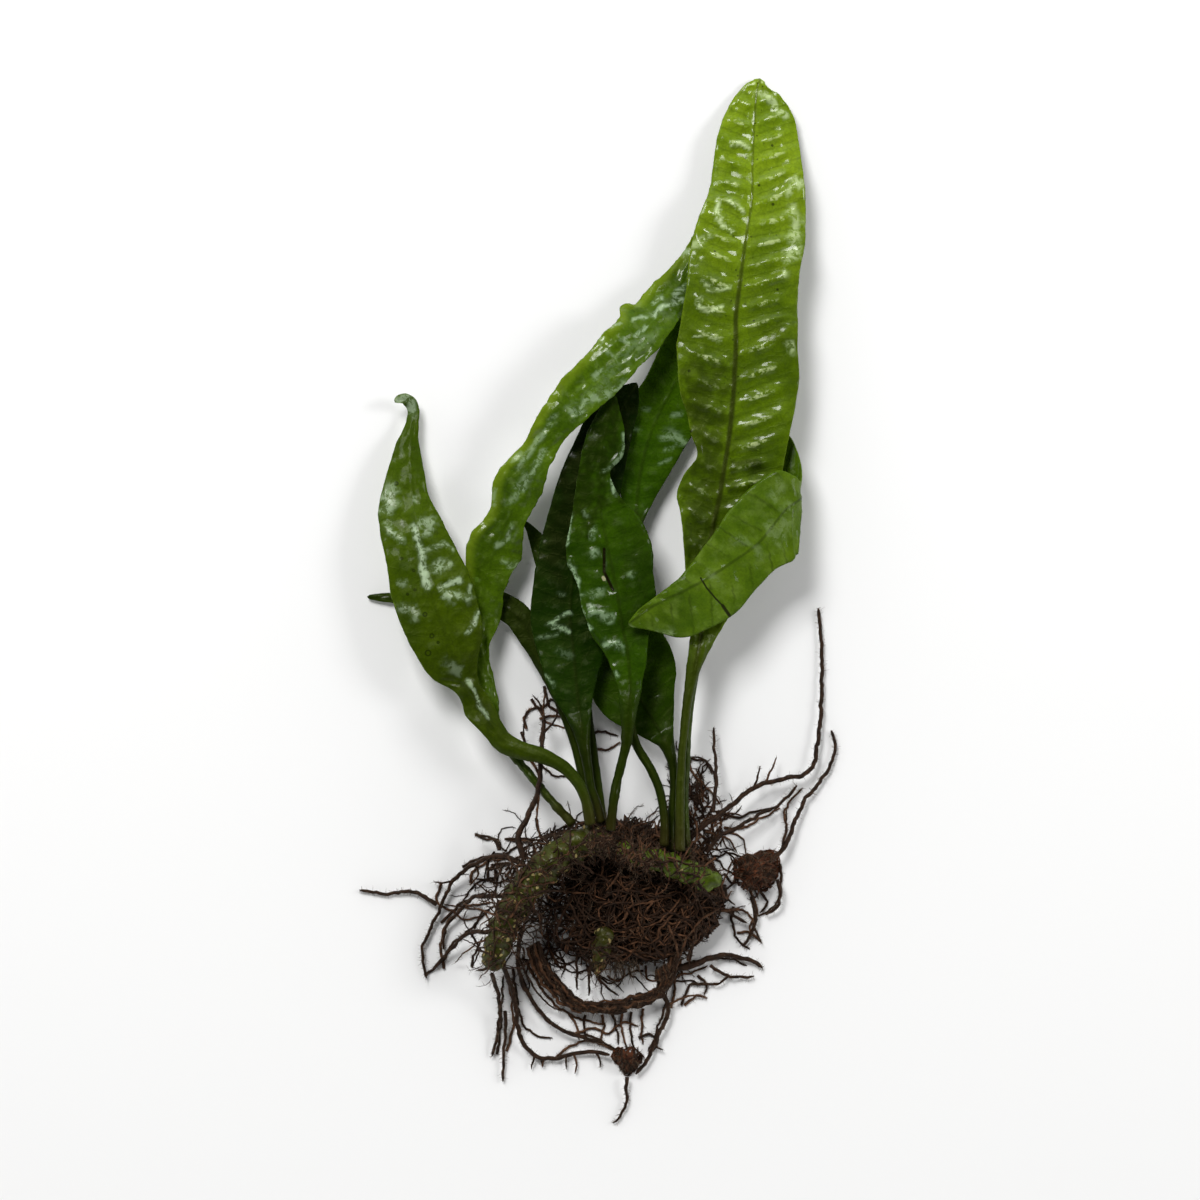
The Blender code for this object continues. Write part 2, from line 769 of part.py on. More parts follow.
root(
    "root_right_upright",
    [
        (26.2, -47.9, 6.9),
        (26.9, -43.6, 6.4),
        (27.1, -38.6, 5.2),
        (26.7, -32.9, 3.6),
        (26.6, -28.6, 2.6),
    ],
    0.6,
    0.35,
)
root(
    "root_right_loop",
    [
        (41.2, -63.6, 3.0),
        (42.0, -67.2, 2.4),
        (40.9, -70.2, 1.8),
        (38.6, -71.8, 1.2),
    ],
    0.5,
    0.4,
)
root(
    "root_right_down",
    [
        (35.3, -67.5, 2.8),
        (36.1, -71.0, 2.1),
        (35.9, -74.6, 1.6),
        (34.6, -77.4, 1.2),
        (33.2, -79.0, 1.0),
    ],
    0.55,
    0.4,
)
root(
    "root_right_arch",
    [
        (29.0, -70.5, 3.4),
        (30.2, -70.9, 2.9),
        (31.6, -72.2, 2.3),
        (34.2, -73.6, 1.6),
    ],
    0.5,
    0.4,
)
root(
    "root_lower_right",
    [
        (17.0, -83.3, 2.6),
        (18.9, -83.9, 2.5),
        (22.0, -83.2, 2.3),
        (24.9, -82.1, 2.1),
        (27.9, -81.1, 1.9),
        (32.5, -81.6, 1.5),
        (35.7, -82.5, 1.1),
        (37.9, -84.0, 0.9),
    ],
    0.95,
    0.5,
)
root(
    "root_lower_right_fork",
    [
        (25.8, -83.4, 1.8),
        (28.6, -85.3, 1.5),
        (32.5, -86.2, 1.2),
        (35.9, -86.0, 0.9),
    ],
    0.5,
    0.35,
)
root(
    "root_lower_bundle",
    [
        (-15.0, -78.4, 4.6),
        (-13.8, -81.9, 4.6),
        (-11.7, -85.8, 4.4),
        (-9.1, -88.8, 3.8),
        (-6.6, -91.4, 3.4),
        (-3.4, -92.9, 3.1),
        (0.7, -93.3, 3.0),
        (6.2, -92.6, 3.0),
        (10.5, -91.2, 3.1),
        (13.8, -89.2, 3.4),
        (15.2, -86.4, 4.4),
        (14.6, -83.4, 5.2),
    ],
    1.5,
    1.2,
    sides=2,
)
root(
    "root_lower_left",
    [
        (-21.9, -82.4, 9.6),
        (-19.6, -89.4, 4.6),
        (-18.8, -93.7, 3.0),
        (-18.1, -99.2, 2.0),
        (-16.0, -102.9, 1.6),
        (-13.3, -104.7, 1.4),
        (-10.3, -104.9, 1.3),
        (-7.1, -104.2, 1.2),
        (-3.4, -103.4, 1.3),
        (-0.5, -103.4, 1.5),
        (2.7, -104.0, 2.0),
    ],
    0.7,
    0.55,
)
root(
    "root_lower_outer",
    [
        (-24.3, -84.7, 10.6),
        (-23.6, -87.2, 6.8),
        (-22.6, -92.0, 3.8),
        (-22.8, -96.5, 2.2),
        (-23.4, -100.6, 1.4),
        (-24.4, -104.4, 0.9),
    ],
    0.6,
    0.4,
)
root(
    "root_lower_straight",
    [
        (-21.4, -93.8, 2.8),
        (-21.2, -97.8, 2.0),
        (-21.6, -102.0, 1.4),
        (-21.8, -106.0, 1.1),
        (-21.9, -110.2, 0.8),
    ],
    0.5,
    0.35,
)
root(
    "root_lower_inner",
    [
        (-17.2, -74.0, 4.6),
        (-18.4, -80.6, 4.6),
        (-17.4, -87.4, 3.9),
        (-15.1, -91.4, 3.2),
        (-12.6, -94.9, 2.6),
        (-9.1, -97.8, 2.2),
        (-5.5, -99.4, 2.0),
        (-2.1, -100.4, 1.9),
        (1.2, -101.2, 2.0),
    ],
    0.6,
    0.5,
)
root(
    "root_lower_right_side",
    [
        (15.1, -90.2, 2.4),
        (16.2, -92.8, 2.2),
        (15.4, -96.2, 2.0),
        (13.9, -99.4, 1.8),
        (12.8, -102.0, 1.7),
        (11.6, -104.7, 1.6),
        (10.0, -106.9, 1.5),
        (8.7, -108.5, 1.4),
    ],
    0.65,
    0.5,
)
root(
    "root_lowest",
    [
        (6.7, -109.1, 1.95),
        (6.5, -112.4, 1.5),
        (6.6, -114.4, 1.2),
        (5.9, -116.8, 1.0),
        (4.8, -118.6, 0.8),
        (3.4, -119.8, 0.7),
    ],
    0.55,
    0.3,
)
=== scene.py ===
"""The looks of a bare-rooted java fern that lies on a pale surface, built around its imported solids.

The camera looks straight down. Lengths are in millimetres until a mesh is made, and the stations of
each frond, stem and root follow those of the solids.
"""

import math

import bpy
import numpy as np
from mathutils import Matrix, Vector, noise as lattice
from mathutils.bvhtree import BVHTree


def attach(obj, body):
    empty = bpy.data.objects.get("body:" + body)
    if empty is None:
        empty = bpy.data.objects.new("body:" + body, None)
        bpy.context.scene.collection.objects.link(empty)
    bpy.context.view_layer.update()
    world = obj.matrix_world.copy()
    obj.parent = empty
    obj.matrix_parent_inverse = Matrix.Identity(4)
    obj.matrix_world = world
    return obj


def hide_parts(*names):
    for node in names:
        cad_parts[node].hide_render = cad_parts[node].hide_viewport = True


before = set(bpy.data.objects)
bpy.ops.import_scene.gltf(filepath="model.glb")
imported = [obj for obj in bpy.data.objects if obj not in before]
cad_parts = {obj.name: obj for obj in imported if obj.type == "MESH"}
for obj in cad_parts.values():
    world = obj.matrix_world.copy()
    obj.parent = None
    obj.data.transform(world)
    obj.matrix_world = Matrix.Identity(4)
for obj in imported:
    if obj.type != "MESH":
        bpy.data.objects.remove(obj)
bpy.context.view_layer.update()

# The tall frond is the broadest blade: a round stalk that flattens into a thin, quilted, wet leaf
# with a dark midrib. It bulges between side veins that slant towards the tip, the left half out of
# step with the right, and it has one small tooth at its tip.

MM = 0.001
BLADE_THICK = 0.42
RIB_LINE = 0.10
RIB_LINE_WIDTH = 0.42
RIB_KEEL = 0.6
RIB_KEEL_WIDTH = 0.85
LOWEST_BLADE = 0.3
STALK_HALF_WIDTH = 1.25
BLADE_HALF_WIDTH = 3.2
TIP_HALF_WIDTH = 0.25
QUILT_REACH = 1.15
QUILT_SHIFT = 0.25
GRID_CROWDING = 0.6
UPPER_SHARE = 0.68
MARGIN_SQUARENESS = 24
CREST_SWAY = 0.13
CREST_WAVER = 0.06
FOLD_SPACING = 3.1
CRIMP_SPACING = 3.3
CRIMP_HEIGHT = 0.10
TIP_FADE = 3.0
MERGE_DISTANCE = 0.000004


def run_along(points):
    """How far along a line of points each of them is."""
    return np.concatenate([[0.0], np.cumsum(np.linalg.norm(np.diff(points, axis=0), axis=1))])


def along(stations, count=None, step=None):
    """Rows read from one smooth curve through the stations, evenly spaced by length."""
    rows = np.array(stations, float)
    at = run_along(rows[:, :3])
    slopes = np.gradient(rows, at, axis=0)
    if count is None:
        count = max(3, round(at[-1] / step) + 1)
    places = np.linspace(0.0, at[-1], count)
    first = np.clip(np.searchsorted(at, places, side="right") - 1, 0, len(at) - 2)
    span = (at[first + 1] - at[first])[:, None]
    t = ((places - at[first])[:, None]) / span
    smooth = (
        (2 * t**3 - 3 * t**2 + 1) * rows[first]
        + (t**3 - 2 * t**2 + t) * slopes[first] * span
        + (3 * t**2 - 2 * t**3) * rows[first + 1]
        + (t**3 - t**2) * slopes[first + 1] * span
    )
    return places, smooth


def unit(vectors):
    return vectors / np.linalg.norm(vectors, axis=-1, keepdims=True)


def waver(places, span, seed):
    """A slow swing between about -1 and 1 that doesn't repeat."""
    turn = 2 * math.pi * places / span
    swing = np.sin(turn + seed) + 0.6 * np.sin(1.7 * turn + 2.1 * seed)
    return (swing + 0.4 * np.sin(2.9 * turn + 3.7 * seed)) / 2


def pick(*pieces):
    """Selects these pieces alone and makes the first one active."""
    bpy.ops.object.select_all(action="DESELECT")
    for piece in pieces:
        piece.select_set(True)
    bpy.context.view_layer.objects.active = pieces[0]


def weld():
    """Merges the active mesh's doubled points and turns its faces out."""
    bpy.ops.object.mode_set(mode="EDIT")
    bpy.ops.mesh.select_all(action="SELECT")
    bpy.ops.mesh.remove_doubles(threshold=MERGE_DISTANCE)
    bpy.ops.mesh.normals_make_consistent(inside=False)
    bpy.ops.object.mode_set(mode="OBJECT")


def rolled_grid(name, rings, columns):
    """A grid to be rolled into a tube, with each point's share of the way round and its ring."""
    bpy.ops.object.select_all(action="DESELECT")
    bpy.ops.mesh.primitive_grid_add(x_subdivisions=columns, y_subdivisions=rings, size=1)
    piece = bpy.context.object
    piece.name = name
    shares = np.empty(len(piece.data.vertices) * 3)
    piece.data.vertices.foreach_get("co", shares)
    shares = shares.reshape(-1, 3) + 0.5
    _, ring = np.unique(np.round(shares[:, 1], 5), return_inverse=True)
    return piece, shares[:, 0], ring


def close_tube(piece, points):
    """Puts the grid's points in place, given in millimetres, and closes the seam and both ends."""
    piece.data.vertices.foreach_set("co", (points * MM).ravel())
    weld()
    bpy.ops.object.shade_smooth()


def keep_attribute(piece, name, values):
    """Stores one or three numbers at each point, for the piece's skin to read."""
    kind, field = ("FLOAT", "value") if values.ndim == 1 else ("FLOAT_VECTOR", "vector")
    made = piece.data.attributes.new(name, kind, "POINT")
    made.data.foreach_set(field, np.ascontiguousarray(values, np.float32).ravel())


def nearness(points, corners, half_width, power=2, stray=0.0):
    """1 on the line through the corners, seen from above, and less towards half_width and beyond."""
    away = np.full(len(points), 1e6)
    seen = points[:, :2] + stray * half_width
    for start, end in zip(corners, corners[1:]):
        run = np.subtract(end, start)
        share = np.clip(((seen - start) @ run) / (run @ run), 0, 1)
        away = np.minimum(away, np.linalg.norm(seen - start - share[:, None] * run, axis=1))
    return np.exp(-((away / half_width) ** power))


def strays(points, grain):
    """Soft random steps sideways, in shares of a half-width, that change over grain millimetres."""
    second = Vector((31.4, 15.9, 26.5))
    places = [place / grain for place in map(Vector, points)]
    return np.array([(lattice.noise(place), lattice.noise(place + second)) for place in places])


def roughen(piece, grain, height):
    """Small soft lumps all over, from Blender's cloud noise."""
    clouds = bpy.data.textures.new(piece.name + "_lumps", "CLOUDS")
    clouds.noise_scale = grain * MM
    clouds.noise_depth = 2
    lumps = piece.modifiers.new("lumps", "DISPLACE")
    lumps.texture = clouds
    lumps.texture_coords = "LOCAL"
    lumps.strength = height * MM
    lumps.mid_level = 0.5
    bpy.context.view_layer.objects.active = piece
    bpy.ops.object.modifier_apply(modifier=lumps.name)


def frond_blade(
    name, stations, rings, ridge, ruffle, wave, arch, seed, columns=56, pitch=5.2, keel=RIB_KEEL,
    slants=(0.25, 0.25), sharp=1.0, crests=None, wrinkle=0.0, lumps=((2.6, 0.25), (1.0, 0.10)),
    creases=(), wet_sheen=(), shade=(), dull=(),
):
    """A frond along its midrib. A station is (x, y, z, left half-width, right half-width), and a
    sixth number gives the direction of the left margin, in degrees, where the blade is folded.
    ridge and pitch are the height and spacing of the quilting, ruffle and wave those of the margins'
    waves. slants are the lean of the left and right side veins, sharp narrows the crests between
    them, crests gives their places along Y where they are known, wrinkle is the height of lengthwise
    folds, and a crease is (points seen from above, half-width, height). The last three arguments are
    patches as (points, half-width, strength): where water stands and a pale sheen is painted in as a
    painted reflection, where shade is painted, and where the skin is dry.
    """
    piece, round_share, ring = rolled_grid(name, rings, columns)
    places, rows = along(stations, count=ring.max() + 1)
    heading = unit(np.gradient(rows[:, :3], places, axis=0))
    if rows.shape[1] > 5:
        compass = np.radians(rows[:, 5])
    else:
        compass = np.arctan2(heading[:, 1], heading[:, 0]) + math.pi / 2
    side = np.stack([np.cos(compass), np.sin(compass), np.zeros(len(rows))], axis=1)
    up = unit(np.cross(heading, side))

    place = places[ring]
    left = np.maximum(rows[:, 3], TIP_HALF_WIDTH)[ring]
    right = np.maximum(rows[:, 4], TIP_HALF_WIDTH)[ring]
    over = round_share <= UPPER_SHARE
    beyond = (round_share - UPPER_SHARE) / (1 - UPPER_SHARE)
    straight = np.where(over, 2 * round_share / UPPER_SHARE - 1, 1 - 2 * beyond)
    u = straight - GRID_CROWDING / (2 * math.pi) * np.sin(2 * math.pi * straight)
    on_left = u < 0
    half = np.where(on_left, left, right)
    out = np.abs(u) * half
    width = (left + right) / 2
    flat = np.clip((width - STALK_HALF_WIDTH) / (BLADE_HALF_WIDTH - STALK_HALF_WIDTH), 0, 1)
    flat[ring > ring[np.argmax(width)]] = 1.0

    rounded = np.sqrt(np.clip(1 - np.abs(u) ** MARGIN_SQUARENESS, 0, 1))
    upper = (BLADE_THICK / 2 + RIB_LINE * np.exp(-((out / RIB_LINE_WIDTH) ** 2))) * rounded
    lower = (BLADE_THICK / 2 + keel * np.exp(-((out / RIB_KEEL_WIDTH) ** 2))) * rounded
    stalk = width * np.sqrt(np.clip(1 - u**2, 0, 1))
    keel_limit = np.minimum(1.0, width / 1.6)
    offset = np.where(over, upper, -lower) * flat * keel_limit
    offset += np.where(over, stalk, -stalk) * (1 - flat)

    slant = np.where(on_left, slants[0], slants[1])
    half_seed = np.where(on_left, seed, seed + 2.4)
    if crests is None:
        turn = (place - slant * out) / pitch + np.where(on_left, QUILT_SHIFT, 0.0)
        turn = turn + CREST_SWAY * waver(place, 6.1 * pitch, half_seed)
    else:
        level = rows[ring, 1] - slant * out
        on_left_turn = np.interp(level, crests[0], np.arange(len(crests[0])))
        turn = np.where(on_left, on_left_turn, np.interp(level, crests[1], np.arange(len(crests[1]))))
    turn = turn + CREST_WAVER * waver(out + 3 * place, 5.0, half_seed)
    crest = ((1 + np.cos(2 * math.pi * turn)) / 2) ** sharp
    reach = np.sin(math.pi * np.minimum(1.0, np.abs(u) * QUILT_REACH)) ** 0.8
    uneven = 1 + 0.55 * waver(place + 4 * out, 4.3 * pitch, 1.7 * half_seed)
    lift = arch * width * u**2
    lift += ruffle * u**2 * np.sin(2 * math.pi * (place / wave + np.where(on_left, 0.5, 0.0)))
    lift += ridge * uneven * (2 * crest - 1) * reach
    folds = np.sin(2 * math.pi * (out / FOLD_SPACING + 0.35 * waver(place, 23.0, half_seed)))
    lift += wrinkle * folds * (1 + waver(place, 13.0, 2.3 * half_seed)) * reach
    lift += CRIMP_HEIGHT * np.abs(u) ** 5 * np.sin(2 * math.pi * place / CRIMP_SPACING + half_seed)
    end_fade = np.clip((places[-1] - place) / TIP_FADE, 0, 1)
    points = (
        rows[ring, :3]
        - side[ring] * (u * half)[:, None]
        + up[ring] * (flat * end_fade * lift + offset)[:, None]
    )
    for corners, half_width, height in creases:
        points[:, 2] += height * nearness(points, corners, half_width) * flat
    points[:, 2] = np.maximum(points[:, 2], np.where(over, LOWEST_BLADE + BLADE_THICK, LOWEST_BLADE))
    last = ring.max()
    points[ring == 0] = rows[0, :3]
    points[ring == last] = rows[last, :3]

    margin = (1 - np.abs(u)) * half
    keep_attribute(piece, "blade_place", np.stack([-u * half, place, margin], axis=1))
    keep_attribute(piece, "blade_quilt", np.stack([turn, crest * reach * flat, flat], axis=1))
    keep_attribute(piece, "underside", np.where(over, 0.0, 1.0))
    keep_attribute(piece, "tip_share", place / places[-1])
    skyward = np.where(over, up[ring, 2] > 0, up[ring, 2] < 0)
    stray = 1.1 * strays(points, 2.3) + 0.6 * strays(points, 0.9) if wet_sheen or shade else 0.0
    for label, patches in (("wet_sheen", wet_sheen), ("shade", shade), ("dull", dull)):
        laid = np.zeros(len(points))
        for corners, half_width, strength in patches:
            laid = np.maximum(laid, strength * nearness(points, corners, half_width, 3, stray))
        keep_attribute(piece, label, laid * skyward)
    close_tube(piece, points)
    for grain, height in lumps:
        roughen(piece, grain, height)
    return piece


def paint(red, green, blue):
    """A colour as it is seen on a screen, from 0 to 255, as the linear colour that shaders use."""
    seen = np.array([red, green, blue]) / 255
    linear = np.where(seen <= 0.04045, seen / 12.92, ((seen + 0.055) / 1.055) ** 2.4)
    return (*linear.tolist(), 1.0)


def feed(tree, socket, value):
    """Links a value that is another node's output, or else writes it on the socket."""
    if isinstance(value, bpy.types.NodeSocket):
        tree.links.new(value, socket)
    else:
        socket.default_value = value


def maths(tree, operation, *values):
    made = tree.nodes.new("ShaderNodeMath")
    made.operation = operation
    for socket, value in zip(made.inputs, values):
        feed(tree, socket, value)
    return made.outputs[0]


def times(tree, product, *factors):
    for factor in factors:
        product = maths(tree, "MULTIPLY", product, factor)
    return product


def hypotenuse(tree, x, y):
    return maths(tree, "SQRT", maths(tree, "ADD", times(tree, x, x), times(tree, y, y)))


def ranged(tree, value, low, high, to_low=0.0, to_high=1.0):
    """The value between low and high, eased, as a number between to_low and to_high."""
    made = tree.nodes.new("ShaderNodeMapRange")
    made.interpolation_type = "SMOOTHSTEP"
    for socket, number in zip(made.inputs, (value, low, high, to_low, to_high)):
        feed(tree, socket, number)
    return made.outputs[0]


def mixed(tree, share, first, second, blend="MIX"):
    made = tree.nodes.new("ShaderNodeMix")
    made.data_type = "RGBA"
    made.blend_type = blend
    for socket, value in zip((made.inputs[0], made.inputs[6], made.inputs[7]), (share, first, second)):
        feed(tree, socket, value)
    return made.outputs[2]


def object_place(tree):
    return tree.nodes.new("ShaderNodeTexCoord").outputs["Object"]


def noise(tree, grain, detail, roughness=0.55, distortion=0.0):
    """Noise whose lumps are about grain millimetres across."""
    made = tree.nodes.new("ShaderNodeTexNoise")
    made.inputs["Scale"].default_value = 1 / (grain * MM)
    made.inputs["Detail"].default_value = detail
    made.inputs["Roughness"].default_value = roughness
    made.inputs["Distortion"].default_value = distortion
    feed(tree, made.inputs["Vector"], object_place(tree))
    return made.outputs["Fac"]


def attribute(tree, name):
    made = tree.nodes.new("ShaderNodeAttribute")
    made.attribute_name = name
    return made.outputs


def apart(tree, vector):
    made = tree.nodes.new("ShaderNodeSeparateXYZ")
    feed(tree, made.inputs[0], vector)
    return made.outputs


def from_above(tree, middle):
    """How many millimetres right of a place and beyond it each point lies, seen from above."""
    x, y, _ = apart(tree, object_place(tree))[:3]
    right = maths(tree, "MULTIPLY_ADD", x, 1 / MM, -middle[0])
    return right, maths(tree, "MULTIPLY_ADD", y, 1 / MM, -middle[1])


def bumped(tree, height, distance, strength, normal=None):
    made = tree.nodes.new("ShaderNodeBump")
    made.inputs["Distance"].default_value = distance * MM
    made.inputs["Strength"].default_value = strength
    feed(tree, made.inputs["Height"], height)
    if normal is not None:
        feed(tree, made.inputs["Normal"], normal)
    return made.outputs[0]


def effect(name, inputs, outputs):
    """A shader node group with named sockets: its tree, its inputs and its outputs."""
    tree = bpy.data.node_groups.new(name, "ShaderNodeTree")
    for label, value in inputs.items():
        kind = "NodeSocketColor" if isinstance(value, tuple) else "NodeSocketFloat"
        socket = tree.interface.new_socket(label, in_out="INPUT", socket_type=kind)
        socket.default_value = value
    for label, kind in outputs.items():
        tree.interface.new_socket(label, in_out="OUTPUT", socket_type="NodeSocket" + kind)
    return tree, tree.nodes.new("NodeGroupInput").outputs, tree.nodes.new("NodeGroupOutput").inputs


def placed(tree, group, **values):
    """The outputs of a node group put to use, with these values on its inputs."""
    made = tree.nodes.new("ShaderNodeGroup")
    made.node_tree = group
    for label, value in values.items():
        feed(tree, made.inputs[label], value)
    return made.outputs


VEIN_NARROWNESS = 26.0
NET_SPACING = 1.7


def leaf_flesh_effect():
    """Green flesh: a deep and a bright green in clouds, with fine mottling."""
    tree, given, out = effect(
        "leaf_flesh", {"Deep": paint(30, 55, 5), "Bright": paint(90, 120, 20)}, {"Color": "Color"}
    )
    clouds = ranged(tree, noise(tree, 13, detail=2), 0.3, 0.7)
    mottle = ranged(tree, noise(tree, 2.2, detail=4, roughness=0.65), 0.25, 0.75)
    grain = ranged(tree, noise(tree, 0.5, detail=2), 0.2, 0.8, 0.86, 1.12)
    share = maths(tree, "ADD", times(tree, clouds, 0.6), times(tree, mottle, 0.4))
    flesh = mixed(tree, share, given["Deep"], given["Bright"])
    feed(tree, out["Color"], mixed(tree, 1.0, flesh, grain, "MULTIPLY"))
    return tree


def leaf_veins_effect():
    """Masks of the midrib, the side veins in the valleys of the quilting, and the net between them."""
    tree, given, out = effect(
        "leaf_veins", {"Across": 0.0, "Along": 0.0, "Turn": 0.0, "Width": 0.5},
        {"Midrib": "Float", "Side veins": "Float", "Net": "Float"},
    )
    from_rib = maths(tree, "ABSOLUTE", given["Across"])
    in_widths = maths(tree, "DIVIDE", from_rib, given["Width"])
    feed(tree, out["Midrib"], ranged(tree, in_widths, 0.3, 1.3, 1.0, 0.0))
    swing = maths(tree, "COSINE", times(tree, given["Turn"], 2 * math.pi))
    valley = maths(tree, "MULTIPLY_ADD", swing, -0.5, 0.5)
    clear = ranged(tree, from_rib, 0.7, 1.6)
    feed(tree, out["Side veins"], times(tree, maths(tree, "POWER", valley, VEIN_NARROWNESS), clear))
    cells = tree.nodes.new("ShaderNodeTexVoronoi")
    cells.feature = "DISTANCE_TO_EDGE"
    cells.inputs["Scale"].default_value = 1 / NET_SPACING
    together = tree.nodes.new("ShaderNodeCombineXYZ")
    for socket, value in zip(together.inputs, (given["Across"], given["Along"])):
        feed(tree, socket, value)
    feed(tree, cells.inputs["Vector"], together.outputs[0])
    feed(tree, out["Net"], ranged(tree, cells.outputs["Distance"], 0.0, 0.09, 1.0, 0.0))
    return tree


def spots_effect():
    """Scattered dark dots, and rings with a pale middle, one to a cell in a share of the cells."""
    tree, given, out = effect(
        "spots", {"Spacing": 6.0, "Size": 0.1, "Share": 0.4}, {"Dots": "Float", "Rings": "Float"}
    )
    cells = tree.nodes.new("ShaderNodeTexVoronoi")
    feed(tree, cells.inputs["Scale"], maths(tree, "DIVIDE", 1 / MM, given["Spacing"]))
    feed(tree, cells.inputs["Vector"], object_place(tree))
    picked = maths(tree, "LESS_THAN", apart(tree, cells.outputs["Color"])[0], given["Share"])
    away = maths(tree, "DIVIDE", cells.outputs["Distance"], given["Size"])
    feed(tree, out["Dots"], times(tree, ranged(tree, away, 0.6, 1.0, 1.0, 0.0), picked))
    off_ring = maths(tree, "ABSOLUTE", maths(tree, "SUBTRACT", away, 1.6))
    feed(tree, out["Rings"], times(tree, ranged(tree, off_ring, 0.3, 0.6, 1.0, 0.0), picked))
    return tree


def wet_film_and_glints_effect():
    """Patches of standing water for the coat, and a mask of pale glints painted on the quilting's crests.
    """
    tree, given, out = effect(
        "wet_film_and_glints", {"Crest": 0.0, "Cover": 0.5}, {"Film": "Float", "Streaks": "Float"}
    )
    patches = noise(tree, 4.5, detail=3, roughness=0.6, distortion=0.4)
    low = maths(tree, "SUBTRACT", 1.0, given["Cover"])
    feed(tree, out["Film"], ranged(tree, patches, times(tree, low, 0.7), low, 0.1, 1.0))
    broken = ranged(tree, noise(tree, 1.6, detail=4, roughness=0.7), 0.45, 0.57)
    crest = ranged(tree, given["Crest"], 0.62, 0.92)
    feed(tree, out["Streaks"], times(tree, crest, broken))
    return tree


LEAF_FLESH = leaf_flesh_effect()
LEAF_VEINS = leaf_veins_effect()
SPOTS = spots_effect()
WET_FILM_AND_GLINTS = wet_film_and_glints_effect()


PALE_MARGIN = paint(108, 130, 22)
# A painted highlight: the pale green-white of glints, painted on the crests of the quilting.
PAINTED_GLINT_TONE = paint(206, 220, 160)
SPOT_TONE = paint(20, 32, 0)
BLOOM_TONE = paint(112, 132, 62)
SHADE_TONE = paint(8, 17, 0)
STALK_FOOT = paint(40, 34, 12)


def fresh_skin(name):
    """A new material, its node tree and the inputs of its shader."""
    made = bpy.data.materials.new(name)
    made.use_nodes = True
    return made, made.node_tree, made.node_tree.nodes["Principled BSDF"].inputs


